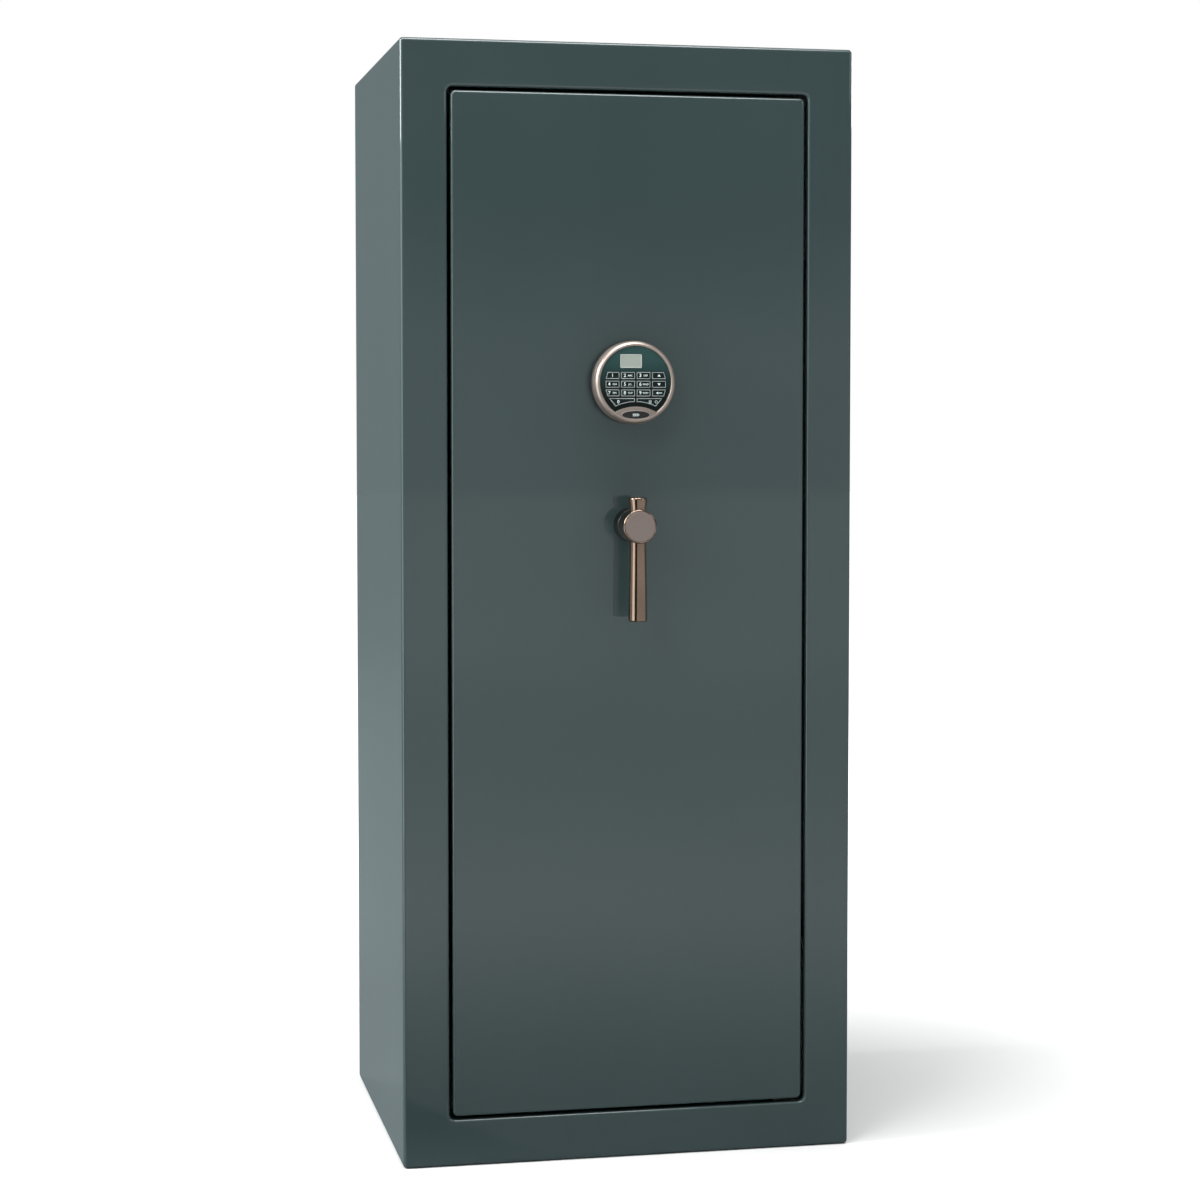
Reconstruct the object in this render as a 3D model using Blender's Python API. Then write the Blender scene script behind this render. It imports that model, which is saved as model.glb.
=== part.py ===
"""Gun safe: steel body, swinging door with boltwork, keypad lock and lined interior.

Metres, +Z up.  The origin is the centre of the footprint on the floor and the door faces -Y.
Depths are counted backwards from the front plane of the body; reach is counted forwards
from the front of the door.  The door is closed, the handle hangs down and the bolts are drawn
back, so every joint is at the low end of its range.
"""

import math

import bmesh
import bpy
from mathutils import Matrix, Vector

# Body
WIDTH = 0.622
HEIGHT = 1.511
DEPTH = 0.5155
BODY_SHEET = 0.003
BODY_BEND = 0.005
FRAME_BORDER = 0.063
FRAME_CORNER = 0.008
FRAME_BEND = 0.0045
FRAME_RETURN = 0.034
HINGE_RETURN = 0.010
HINGE_RETURN_REACH = 0.040

# Lining and furniture
FIT = 0.0003
LINING_DEPTH = 0.080
LINER = 0.010
BACK_BOARD = 0.032
SHELF = 0.016
SLOT_DEPTH = 0.004
TOP_BAY = 0.270
SHELF_SETBACK = 0.025
DIVIDER_X = 0.028
SHELF_COUNT = 2
RACK_DROP = 0.232
RACK_THICKNESS = 0.022
RACK_REACH = 0.075
RACK_NOTCHES = 5
RACK_NOTCH_RADIUS = 0.017
RACK_CLEARANCE = 0.002

# Door
DOOR_GAP = 0.0045
DOOR_PLATE = 0.006
DOOR_BEND = 0.0045
DOOR_CORNER = 0.0075
BOX_INSET = 0.012
BOX_SHEET = 0.002
BOX_LIP = 0.014
BOX_DEPTH = 0.070
DOOR_BOARD = 0.0177
HARD_PLATE = 0.003
DOOR_PANEL = 0.0047
SEAL_WIDTH = 0.009
SEAL_THICKNESS = 0.003

# Hinges
HINGE_OFFSET = 0.0255
HINGE_DEPTH = 0.015
HINGE_INSET_Z = 0.300
HINGE_TAB_GAP = 0.0015
ARM_INNER = 0.032
ARM_OUTER = 0.046
ARM_HEIGHT = 0.030
ARM_SPOKE_ANGLE = math.radians(70)
ARM_SPOKE_HALF = 0.006
ARM_STEPS = 10
BOSS_STEPS = 12
BOSS_RADIUS = 0.010
PIN_RADIUS = 0.0055
PIN_HEAD_RADIUS = 0.0085
PIN_HEAD = 0.004
LEAF = 0.006
LEAF_REACH = 0.022
BRACKET_PLATE = 0.005
RUNNING_GAP = 0.0006
DEAD_BAR = 0.006
DEAD_BAR_DEPTH = 0.033
DEAD_BAR_LAP = 0.014

# Boltwork
BOLT_COUNT = 4
BOLT_RADIUS = 0.0125
BOLT_NOSE = 0.0065
BOLT_BEND = 0.002
BOLT_DEPTH = 0.050
BOLT_INSET_Z = 0.150
CARRIER = 0.008
CARRIER_WIDTH = 0.012
CARRIER_FROM_BOX = 0.0305
HANDLE_Z = 0.865
HANDLE_TURN = math.radians(90)
PINION_MODULE = 0.002
PINION_TEETH = 18
PINION_WIDTH = 0.012
PRESSURE_ANGLE = math.radians(20)
BACKLASH = 0.0006
ROOT_CLEARANCE = 0.0006
FLANK_STEPS = 3
RACK_BAR = 0.015
LOCK_SIZE = (0.061, 0.026, 0.088)
LOCK_FROM_HANDLE = 0.150
LOCK_BOLT = (0.010, 0.012, 0.036)
LOCK_BOLT_STANDOFF = 0.010
LOCK_BOLT_SEAT = 0.7
LOCK_BOLT_TRAVEL = 0.010
LUG_WIDTH = 0.008
LUG_PASS = 0.0085
LUG_DROP = 0.0012
STRAP_HEIGHT = 0.008

# Handle
SHAFT_RADIUS = 0.006
BUSHING_RADIUS = 0.011
HUB_RADIUS = 0.0228
HUB_REACH = 0.0645
COLLAR_REACH = 0.030
COLLAR_GROOVE = 0.0008
BAR_REACH = 0.0497
BAR_STUB = 0.0386
BAR_LEVER = 0.1273
BAR_WAIST_RADIUS = 0.0110
BAR_STUB_RADIUS = 0.0127
BAR_LEVER_RADIUS = 0.0123
EDGE_ROUND = 0.002

# Keypad
KEYPAD_RISE = 0.1917
KEYPAD_RADIUS = 0.0555
KEYPAD_REACH = 0.037
KEYPAD_STANDOFF = 0.0022
KEYPAD_WALL = 0.003
KEYPAD_ROUND = 0.0045
FACE_RADIUS = 0.0484
FACE_RECESS = 0.0017
FACE_THICKNESS = 0.0015
FACE_WEB = 0.0025
CAP_ARC_RADIUS = 0.0593
CAP_ARC_TOP = -0.0325
CAP_WALL = 0.0025
LCD_LEFT = -0.0210
LCD_RIGHT = 0.0084
LCD_LOW = 0.0194
LCD_HIGH = 0.0375
KEY_WIDTH = 0.0190
KEY_PITCH_X = 0.0212
KEY_HEIGHT = 0.0093
KEY_PITCH_Z = 0.0116
KEY_TOP = 0.0139
KEY_SLANT = 0.0026
KEY_GAP = 0.00035
KEY_STAND = 0.0011
KEY_DEPTH = 0.0014
WIDE_KEY_HALF = 0.0366
WIDE_KEY_FOOT = 0.0276
WIDE_KEY_CENTRE = 0.0012
WIDE_KEY_ARC_GAP = 0.0065
WIDE_KEY_STEPS = 6
BATTERY = (0.0485, 0.0265, 0.0175)
BATTERY_DROP = 0.0430
BATTERY_STANDOFF = 0.0012

SHARP_ANGLE = math.radians(35)
ROUND_STEPS = 48
FINE_STEPS = 24
BEND_STEPS = 4

# Worked-out places
FRONT = -DEPTH / 2
BACK = DEPTH / 2
OPEN_X = WIDTH / 2 - FRAME_BORDER
OPEN_LOW = FRAME_BORDER
OPEN_HIGH = HEIGHT - FRAME_BORDER
MIDDLE_Z = HEIGHT / 2
INNER_X = WIDTH / 2 - BODY_SHEET - FIT
INNER_LOW = BODY_SHEET + FIT
INNER_HIGH = HEIGHT - BODY_SHEET - FIT
INNER_BACK = BACK - BODY_SHEET - FIT
PLATE_X = OPEN_X - DOOR_GAP
KEYPAD_Z = HANDLE_Z + KEYPAD_RISE
PLATE_HALF_Z = HEIGHT / 2 - FRAME_BORDER - DOOR_GAP
BOX_X = PLATE_X - BOX_INSET
BOX_LOW = MIDDLE_Z - PLATE_HALF_Z + BOX_INSET
BOX_HIGH = MIDDLE_Z + PLATE_HALF_Z - BOX_INSET
HINGE = Vector((OPEN_X + HINGE_OFFSET, FRONT + HINGE_DEPTH, MIDDLE_Z))
HINGE_HEIGHTS = {"lower": HINGE_INSET_Z, "upper": HEIGHT - HINGE_INSET_Z}
PITCH_RADIUS = PINION_MODULE * PINION_TEETH / 2
BOLT_THROW = PITCH_RADIUS * HANDLE_TURN
CARRIER_LEFT = -BOX_X + CARRIER_FROM_BOX + BOX_SHEET
LOCK_LOW = HANDLE_Z + LOCK_FROM_HANDLE
BOARD_BACK = FRONT + DOOR_PLATE + FIT + DOOR_BOARD
HARD_BACK = BOARD_BACK + FIT + HARD_PLATE
LINING_FRONT = FRONT + LINING_DEPTH
BOARD_X = OPEN_X + LINER + FIT
LINING_BACK = INNER_BACK - BACK_BOARD
SHELF_FRONT = LINING_FRONT + SHELF_SETBACK
SHELF_TOP = OPEN_HIGH - TOP_BAY
RACK_HEIGHT = SHELF_TOP - SHELF - RACK_DROP
CAP_ARC_Z = KEYPAD_Z + CAP_ARC_TOP - CAP_ARC_RADIUS


def clear_scene():
    """Start from an empty scene."""
    for item in list(bpy.data.objects):
        bpy.data.objects.remove(item)


def finish(name, colour, roughness, metallic):
    """Make a plain material."""
    made = bpy.data.materials.new(name)
    made.use_nodes = True
    shader = made.node_tree.nodes["Principled BSDF"]
    shader.inputs["Base Color"].default_value = (*colour, 1.0)
    shader.inputs["Roughness"].default_value = roughness
    shader.inputs["Metallic"].default_value = metallic
    made.diffuse_color = (*colour, 1.0)
    return made


def add_object(name, bm):
    """Close up the working mesh and put it in the scene."""
    bmesh.ops.remove_doubles(bm, verts=bm.verts, dist=1e-7)
    bmesh.ops.recalc_face_normals(bm, faces=bm.faces)
    mesh = bpy.data.meshes.new(name)
    bm.to_mesh(mesh)
    bm.free()
    made = bpy.data.objects.new(name, mesh)
    bpy.context.scene.collection.objects.link(made)
    return made


def skin_rings(bm, rings, closed):
    """Join rings of equal length into a tube, with flat ends unless it closes on itself."""
    rows = [[bm.verts.new(point) for point in ring] for ring in rings]
    pairs = list(zip(rows, rows[1:]))
    if closed:
        pairs.append((rows[-1], rows[0]))
    else:
        bm.faces.new(rows[0])
        bm.faces.new(rows[-1])
    for first, second in pairs:
        for index in range(len(first)):
            following = (index + 1) % len(first)
            bm.faces.new((first[index], first[following], second[following], second[index]))


def box(name, low, high):
    """Make a box between two corners."""
    bm = bmesh.new()
    bmesh.ops.create_cube(bm, size=1.0)
    size = Vector(high) - Vector(low)
    centre = (Vector(high) + Vector(low)) / 2
    bmesh.ops.transform(bm, matrix=Matrix.Translation(centre) @ Matrix.Diagonal((*size, 1.0)), verts=bm.verts)
    return add_object(name, bm)


def prism(name, outline, axis, low, high):
    """Push a flat outline along an axis: (x, z) along Y, or (x, y) along Z."""
    place = {"y": lambda a, b, c: (a, c, b), "z": lambda a, b, c: (a, b, c)}[axis]
    bm = bmesh.new()
    rings = [[place(a, b, level) for a, b in outline] for level in (low, high)]
    skin_rings(bm, rings, closed=False)
    return add_object(name, bm)


def turned(name, profile, centre, axis, steps):
    """Turn a profile of (radius, along) points about an axis; ends at radius 0 become poles."""
    frame = {
        "x": lambda r, a, t: (a, r * math.cos(t), r * math.sin(t)),
        "y": lambda r, a, t: (r * math.cos(t), a, r * math.sin(t)),
        "z": lambda r, a, t: (r * math.cos(t), r * math.sin(t), a),
    }[axis]
    bm = bmesh.new()
    rows = []
    for radius, along in profile:
        count = steps if radius > 0 else 1
        angles = [math.tau * step / steps for step in range(count)]
        rows.append([bm.verts.new(Vector(centre) + Vector(frame(radius, along, angle))) for angle in angles])
    pairs = list(zip(rows, rows[1:]))
    if len(rows[0]) > 1:
        pairs.append((rows[-1], rows[0]))
    for first, second in pairs:
        for step in range(steps):
            corners = [first[step % len(first)], first[(step + 1) % len(first)]]
            corners += [second[(step + 1) % len(second)], second[step % len(second)]]
            corners = list(dict.fromkeys(corners))
            if len(corners) > 2:
                bm.faces.new(corners)
    return add_object(name, bm)


def cylinder(name, radius, low, high, centre, axis, steps=FINE_STEPS):
    """Make a plain round bar."""
    return turned(name, [(0, low), (radius, low), (radius, high), (0, high)], centre, axis, steps)


def rounded_ring(y, half_x, half_z, corner):
    """One rounded rectangle at a depth, centred on the middle of the safe."""
    points = []
    for quarter in range(4):
        side_x = 1 if quarter in (0, 3) else -1
        side_z = 1 if quarter in (0, 1) else -1
        for step in range(BEND_STEPS + 1):
            angle = math.pi / 2 * (quarter + step / BEND_STEPS)
            x = side_x * (half_x - corner) + corner * math.cos(angle)
            z = side_z * (half_z - corner) + corner * math.sin(angle)
            points.append((x, y, MIDDLE_Z + z))
    return points


def rounded_block(name, sections):
    """Join rounded rectangles (y, half width, half height, corner radius) front to back."""
    bm = bmesh.new()
    skin_rings(bm, [rounded_ring(*section) for section in sections], closed=False)
    return add_object(name, bm)


def bend_sections(front, half_x, half_z, corner, radius, outward):
    """Sections of an edge bent to a radius: 1 rounds a block's front edge, -1 flares a hole's."""
    sections = []
    for step in range(BEND_STEPS + 1):
        angle = math.pi / 2 * step / BEND_STEPS
        inset = radius * (1 - math.sin(angle)) * outward
        depth = radius * (1 - math.cos(angle))
        sections.append((front + depth, half_x - inset, half_z - inset, max(corner - inset, corner / 4)))
    return sections


def boolean(target, tool, operation):
    """Apply one exact Boolean and drop the tool."""
    modifier = target.modifiers.new(operation.lower(), "BOOLEAN")
    modifier.operation = operation
    modifier.solver = "EXACT"
    modifier.object = tool
    graph = bpy.context.evaluated_depsgraph_get()
    result = bpy.data.meshes.new_from_object(target.evaluated_get(graph))
    target.modifiers.clear()
    target.data = result
    bpy.data.objects.remove(tool)
    return target


def cut(target, *tools):
    """Take tools out of a target."""
    for tool in tools:
        boolean(target, tool, "DIFFERENCE")
    return target


def gathered(name, pieces):
    """Put separate solids into one object, so that one Boolean takes them all."""
    bm = bmesh.new()
    for piece in pieces:
        bm.from_mesh(piece.data)
        bpy.data.objects.remove(piece)
    return add_object(name, bm)


def fuse(target, *tools):
    """Add tools to a target."""
    for tool in tools:
        boolean(target, tool, "UNION")
    return target


def keep_inside(target, tool):
    """Keep what two solids share."""
    return boolean(target, tool, "INTERSECT")


def dress(piece, material, smooth=False):
    """Give a piece its material and, on round work, smooth shading with sharp edges."""
    piece.data.materials.clear()
    piece.data.materials.append(material)
    if smooth:
        piece.data.shade_smooth()
        piece.data.set_sharp_from_angle(angle=SHARP_ANGLE)
    return piece


def joint_empty(name, place, parent=None):
    """Mark a joint's axis with an empty that carries the moving pieces."""
    made = bpy.data.objects.new(name, None)
    bpy.context.scene.collection.objects.link(made)
    made.location = place
    if parent is not None:
        made.parent = parent
        made.matrix_parent_inverse = Matrix.Translation(-Vector(parent["place"]))
    made["place"] = tuple(place)
    return made


def carry(empty, pieces):
    """Parent pieces to a joint's empty and leave them where they are."""
    for piece in pieces:
        piece.parent = empty
        piece.matrix_parent_inverse = Matrix.Translation(-Vector(empty["place"]))


def make_body_shell(paint):
    """The welded steel body: walls, back, front frame and its returns behind the opening."""
    half_x = WIDTH / 2
    half_z = HEIGHT / 2
    front = bend_sections(FRONT, half_x, half_z, BODY_BEND, BODY_BEND, 1)
    back = bend_sections(0, half_x, half_z, BODY_BEND, BODY_BEND, 1)
    back = [(BACK - y, x, z, corner) for y, x, z, corner in reversed(back)]
    shell = rounded_block("body_shell", front + back)
    hole_x = OPEN_X + BODY_SHEET
    hole_z = HEIGHT / 2 - FRAME_BORDER + BODY_SHEET
    corner = FRAME_CORNER + BODY_SHEET
    returns = rounded_block(
        "returns", [(FRONT, hole_x, hole_z, corner), (FRONT + FRAME_RETURN, hole_x, hole_z, corner)]
    )
    clear = (OPEN_X - HINGE_RETURN_REACH, FRONT + HINGE_RETURN, 0)
    cut(returns, box("hinge_side", clear, (WIDTH, BACK, HEIGHT)))
    low = (-half_x + BODY_SHEET, FRONT + BODY_SHEET, BODY_SHEET)
    high = (half_x - BODY_SHEET, BACK - BODY_SHEET, HEIGHT - BODY_SHEET)
    cavity = box("cavity", low, high)
    cut(cavity, returns)
    flare = bend_sections(FRONT, OPEN_X, HEIGHT / 2 - FRAME_BORDER, FRAME_CORNER, FRAME_BEND, -1)
    first = (FRONT - FRAME_BEND, *flare[0][1:])
    last = (FRONT + FRAME_RETURN + BODY_SHEET, *flare[-1][1:])
    opening = rounded_block("opening", [first, *flare, last])
    cut(shell, cavity, opening)
    return dress(shell, paint, smooth=True)


def make_fireboards(material):
    """Five boards of fire insulation between the steel and the liners."""
    low = OPEN_LOW - LINER - FIT
    high = OPEN_HIGH + LINER + FIT
    inner = BOARD_X - FIT
    floor = box("fireboard_floor", (-inner, LINING_FRONT, INNER_LOW), (inner, INNER_BACK, low))
    boards = [
        box("fireboard_left", (-INNER_X, LINING_FRONT, INNER_LOW), (-BOARD_X, INNER_BACK, INNER_HIGH)),
        box("fireboard_right", (BOARD_X, LINING_FRONT, INNER_LOW), (INNER_X, INNER_BACK, INNER_HIGH)),
        box("fireboard_top", (-inner, LINING_FRONT, high), (inner, INNER_BACK, INNER_HIGH)),
        box("fireboard_back", (-inner, LINING_BACK, low + FIT), (inner, INNER_BACK, high - FIT)),
        floor,
    ]
    return [dress(board, material) for board in boards]


def shelf_levels():
    """Heights of the undersides of the side shelves, evenly spaced below the top shelf."""
    bay = (SHELF_TOP - SHELF - OPEN_LOW) / (SHELF_COUNT + 1)
    return [OPEN_LOW + bay * (index + 1) - SHELF / 2 for index in range(SHELF_COUNT)]


def slot_cutter(low, high):
    """A housing slot that takes a shelf or divider edge with a little room."""
    grow = Vector((FIT, FIT, FIT))
    return box("slot", Vector(low) - grow, Vector(high) + grow)


def make_liners(material):
    """Fabric-covered boards that line the inside, with slots for the shelves and divider."""
    back = LINING_BACK - FIT
    low = OPEN_LOW - LINER
    high = OPEN_HIGH + LINER
    inner = OPEN_X - FIT
    left = box("liner_left", (-OPEN_X - LINER, LINING_FRONT, low), (-OPEN_X, back, high))
    right = box("liner_right", (OPEN_X, LINING_FRONT, low), (OPEN_X + LINER, back, high))
    floor = box("liner_floor", (-inner, LINING_FRONT, low), (inner, back, OPEN_LOW))
    ceiling = box("liner_ceiling", (-inner, LINING_FRONT, OPEN_HIGH), (inner, back, high))
    rear = box("liner_back", (-inner, back - LINER, OPEN_LOW + FIT), (inner, back, OPEN_HIGH - FIT))
    edge = OPEN_X + SLOT_DEPTH
    shelf_back = back - LINER - FIT
    cut(left, slot_cutter((-edge, SHELF_FRONT, SHELF_TOP - SHELF), (0, shelf_back, SHELF_TOP)))
    cut(right, slot_cutter((0, SHELF_FRONT, SHELF_TOP - SHELF), (edge, shelf_back, SHELF_TOP)))
    for level in shelf_levels():
        cut(right, slot_cutter((0, SHELF_FRONT, level), (edge, shelf_back, level + SHELF)))
    half = SHELF / 2
    groove_low = (DIVIDER_X - half, SHELF_FRONT, OPEN_LOW - SLOT_DEPTH)
    cut(floor, slot_cutter(groove_low, (DIVIDER_X + half, shelf_back, OPEN_LOW + SHELF)))
    return [dress(liner, material) for liner in (left, right, floor, ceiling, rear)]


def make_furniture(material):
    """Top shelf, upright divider, side shelves and the rest for long barrels."""
    back = LINING_BACK - LINER - FIT * 2
    front = SHELF_FRONT
    edge = OPEN_X + SLOT_DEPTH - FIT
    half = SHELF / 2
    top = box("top_shelf", (-edge, front, SHELF_TOP - SHELF), (edge, back, SHELF_TOP))
    groove_low = (DIVIDER_X - half, front, SHELF_TOP - SHELF * 2)
    cut(top, slot_cutter(groove_low, (DIVIDER_X + half, back, SHELF_TOP - SHELF + SLOT_DEPTH)))
    low = (DIVIDER_X - half, front, OPEN_LOW - SLOT_DEPTH + FIT)
    high = (DIVIDER_X + half, back, SHELF_TOP - SHELF + SLOT_DEPTH - FIT)
    divider = box("divider", low, high)
    shelves = []
    slot_x = DIVIDER_X + half - SLOT_DEPTH
    for name, level in zip(("lower", "upper"), shelf_levels()):
        cut(divider, slot_cutter((slot_x, front, level), (OPEN_X, back, level + SHELF)))
        shelves.append(box(f"shelf_{name}", (slot_x + FIT, front, level), (edge, back, level + SHELF)))
    rack_low = (-OPEN_X + RACK_CLEARANCE, back - RACK_REACH, RACK_HEIGHT - RACK_THICKNESS)
    rack_right = DIVIDER_X - half - RACK_CLEARANCE
    rack = box("gun_rack", rack_low, (rack_right, back, RACK_HEIGHT))
    pitch = (rack_right - rack_low[0]) / RACK_NOTCHES
    for index in range(RACK_NOTCHES):
        centre = (rack_low[0] + pitch * (index + 0.5), back - RACK_REACH, 0)
        low_z = RACK_HEIGHT - RACK_THICKNESS * 2
        cut(rack, cylinder("notch", RACK_NOTCH_RADIUS, low_z, RACK_HEIGHT + RACK_THICKNESS, centre, "z"))
    for piece in (top, divider, *shelves):
        dress(piece, material)
    dress(rack, material, smooth=True)
    return [top, divider, *shelves, rack]


def make_hinge_bracket(name, level, steel):
    """A welded fork on the side wall that holds the hinge pin above and below the arm."""
    half = ARM_HEIGHT / 2 + RUNNING_GAP
    left = HINGE.x - BOSS_RADIUS
    plate = INNER_X - BRACKET_PLATE
    outline = [
        (left, level - half - LEAF),
        (INNER_X, level - half - LEAF),
        (INNER_X, level + half + LEAF),
        (left, level + half + LEAF),
        (left, level + half),
        (plate, level + half),
        (plate, level - half),
        (left, level - half),
    ]
    bracket = prism(name, outline, "y", HINGE.y - BOSS_RADIUS, HINGE.y + LEAF_REACH)
    reach = half + LEAF * 2
    centre = (HINGE.x, HINGE.y, level)
    cut(bracket, cylinder("bore", PIN_RADIUS + FIT, -reach, reach, centre, "z"))
    return dress(bracket, steel, smooth=True)


def make_hinge_pin(name, level, steel):
    """A headed pin, dropped in from above."""
    half = ARM_HEIGHT / 2 + RUNNING_GAP + LEAF
    profile = [
        (0, -half),
        (PIN_RADIUS, -half),
        (PIN_RADIUS, half + FIT),
        (PIN_HEAD_RADIUS, half + FIT),
        (PIN_HEAD_RADIUS, half + FIT + PIN_HEAD),
        (0, half + FIT + PIN_HEAD),
    ]
    return dress(turned(name, profile, (HINGE.x, HINGE.y, level), "z", FINE_STEPS), steel, smooth=True)


def arc_points(radius, start, end, steps):
    """Points along an arc about the hinge axis, in the floor plan."""
    angles = [start + (end - start) * step / steps for step in range(steps + 1)]
    return [(HINGE.x + radius * math.cos(a), HINGE.y + radius * math.sin(a)) for a in angles]


def make_hinge_arm(name, level, steel):
    """A curved arm that swings round the frame's edge, welded to the back of the door plate."""
    tab_x = BOX_X + FIT
    tab_y = FRONT + DOOR_PLATE + FIT
    inner_x = min(HINGE.x - ARM_INNER, PLATE_X - HINGE_TAB_GAP)
    clip = math.acos((tab_x - HINGE.x) / ARM_OUTER)
    spoke = ARM_SPOKE_ANGLE
    boss_swing = math.asin(ARM_SPOKE_HALF / BOSS_RADIUS)
    outline = [(tab_x, tab_y), (inner_x, tab_y)]
    outline += arc_points(ARM_INNER, math.pi, spoke + math.asin(ARM_SPOKE_HALF / ARM_INNER), ARM_STEPS)
    outline += arc_points(BOSS_RADIUS, spoke + boss_swing, spoke - boss_swing + math.tau, BOSS_STEPS)
    outline += arc_points(ARM_OUTER, spoke - math.asin(ARM_SPOKE_HALF / ARM_OUTER), clip, ARM_STEPS)
    arm = prism(name, outline, "z", level - ARM_HEIGHT / 2, level + ARM_HEIGHT / 2)
    centre = (HINGE.x, HINGE.y, level)
    cut(arm, cylinder("bore", PIN_RADIUS + FIT, -ARM_HEIGHT, ARM_HEIGHT, centre, "z"))
    return dress(arm, steel, smooth=True)


def make_door_plate(paint):
    """The outer door plate with its rounded front edge, shaft hole and keypad cable hole."""
    front = bend_sections(FRONT, PLATE_X, PLATE_HALF_Z, DOOR_CORNER, DOOR_BEND, 1)
    plate = rounded_block("door_plate", front + [(FRONT + DOOR_PLATE, *front[-1][1:])])
    ends = (-DOOR_PLATE, DOOR_PLATE * 2)
    shaft_hole = cylinder("hole", BUSHING_RADIUS + FIT, *ends, (0, FRONT, HANDLE_Z), "y")
    cable_hole = cylinder("hole", SHAFT_RADIUS, *ends, (0, FRONT, KEYPAD_Z), "y")
    cut(plate, shaft_hole, cable_hole)
    return dress(plate, paint, smooth=True)


def make_door_box(steel):
    """The welded sheet frame behind the plate, with a lip for the panel and holes for the bolts."""
    front = FRONT + DOOR_PLATE + FIT
    back = FRONT + BOX_DEPTH
    frame = box("door_box", (-BOX_X, front, BOX_LOW), (BOX_X, back, BOX_HIGH))
    for level in bolt_levels():
        centre = (-BOX_X, FRONT + BOLT_DEPTH, level)
        cut(frame, cylinder("hole", BOLT_RADIUS + RUNNING_GAP, -BOLT_RADIUS, BOLT_RADIUS, centre, "x"))
    inner = BOX_X - BOX_SHEET
    low = (-inner, front - BOX_SHEET, BOX_LOW + BOX_SHEET)
    cut(frame, box("hollow", low, (inner, back - BOX_SHEET, BOX_HIGH - BOX_SHEET)))
    lip = BOX_X - BOX_LIP
    mouth_low = (-lip, back - BOX_SHEET * 2, BOX_LOW + BOX_LIP)
    cut(frame, box("mouth", mouth_low, (lip, back + BOX_SHEET, BOX_HIGH - BOX_LIP)))
    return dress(frame, steel, smooth=True)


def make_door_layers(board_material, steel, fabric):
    """Fireboard and hard plate inside the door, and the covered panel that closes it."""
    inner = BOX_X - BOX_SHEET - FIT
    low = BOX_LOW + BOX_SHEET + FIT
    high = BOX_HIGH - BOX_SHEET - FIT
    front = FRONT + DOOR_PLATE + FIT
    board = box("door_fireboard", (-inner, front, low), (inner, BOARD_BACK, high))
    hard = box("hard_plate", (-inner, BOARD_BACK + FIT, low), (inner, HARD_BACK, high))
    depth = DOOR_BOARD + HARD_PLATE
    for layer, reach in ((board, BUSHING_RADIUS + FIT), (hard, SHAFT_RADIUS + RUNNING_GAP)):
        cut(layer, cylinder("hole", reach, -depth, depth * 2, (0, front, HANDLE_Z), "y"))
        cut(layer, cylinder("hole", SHAFT_RADIUS, -depth, depth * 2, (0, front, KEYPAD_Z), "y"))
    back = FRONT + BOX_DEPTH + FIT
    panel = box("door_panel", (-BOX_X, back, BOX_LOW), (BOX_X, back + DOOR_PANEL, BOX_HIGH))
    return [dress(board, board_material, True), dress(hard, steel, True), dress(panel, fabric)]


def make_door_seal(rubber):
    """A heat-swelling strip on the plate's rim, along the top, opening side and bottom."""
    front = FRONT + DOOR_PLATE + FIT
    outer_x = BOX_X + FIT + SEAL_WIDTH
    outer_low = BOX_LOW - FIT - SEAL_WIDTH
    outer_high = BOX_HIGH + FIT + SEAL_WIDTH
    seal = box("door_seal", (-outer_x, front, outer_low), (BOX_X, front + SEAL_THICKNESS, outer_high))
    low = (-BOX_X - FIT, front - FIT, BOX_LOW - FIT)
    cut(seal, box("middle", low, (outer_x, front + SEAL_THICKNESS * 2, BOX_HIGH + FIT)))
    return dress(seal, rubber)


def make_dead_bar(steel):
    """The fixed bar that hooks behind the frame on the hinge side."""
    margin = ARM_HEIGHT + LEAF * 2
    low = (BOX_X + FIT, HINGE.y + DEAD_BAR_DEPTH, HINGE_HEIGHTS["lower"] + margin)
    high_z = HINGE_HEIGHTS["upper"] - margin
    high = (OPEN_X + DEAD_BAR_LAP, HINGE.y + DEAD_BAR_DEPTH + DEAD_BAR, high_z)
    return dress(box("hinge_side_bar", low, high), steel)


def bolt_levels():
    """Heights of the locking bolts, evenly spaced."""
    low = OPEN_LOW + BOLT_INSET_Z
    high = OPEN_HIGH - BOLT_INSET_Z
    return [low + (high - low) * index / (BOLT_COUNT - 1) for index in range(BOLT_COUNT)]


def make_bolt(name, level, chrome):
    """A round locking bolt with an eased nose, its tail against the carrier."""
    tip = -BOX_X - BOLT_NOSE
    tail = CARRIER_LEFT - FIT
    profile = [(0, tail), (BOLT_RADIUS, tail), (BOLT_RADIUS, tip + BOLT_BEND)]
    for step in range(1, BEND_STEPS):
        angle = math.pi / 2 * step / BEND_STEPS
        shrink = BOLT_BEND * (1 - math.cos(angle))
        profile.append((BOLT_RADIUS - shrink, tip + BOLT_BEND * (1 - math.sin(angle))))
    profile += [(BOLT_RADIUS - BOLT_BEND, tip), (0, tip)]
    return dress(turned(name, profile, (0, FRONT + BOLT_DEPTH, level), "x", FINE_STEPS), chrome, True)


def involute(base, radius):
    """The angle swept by an involute between its base circle and a radius."""
    ratio = math.sqrt(max((radius / base) ** 2 - 1, 0))
    return ratio - math.atan(ratio)


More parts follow.
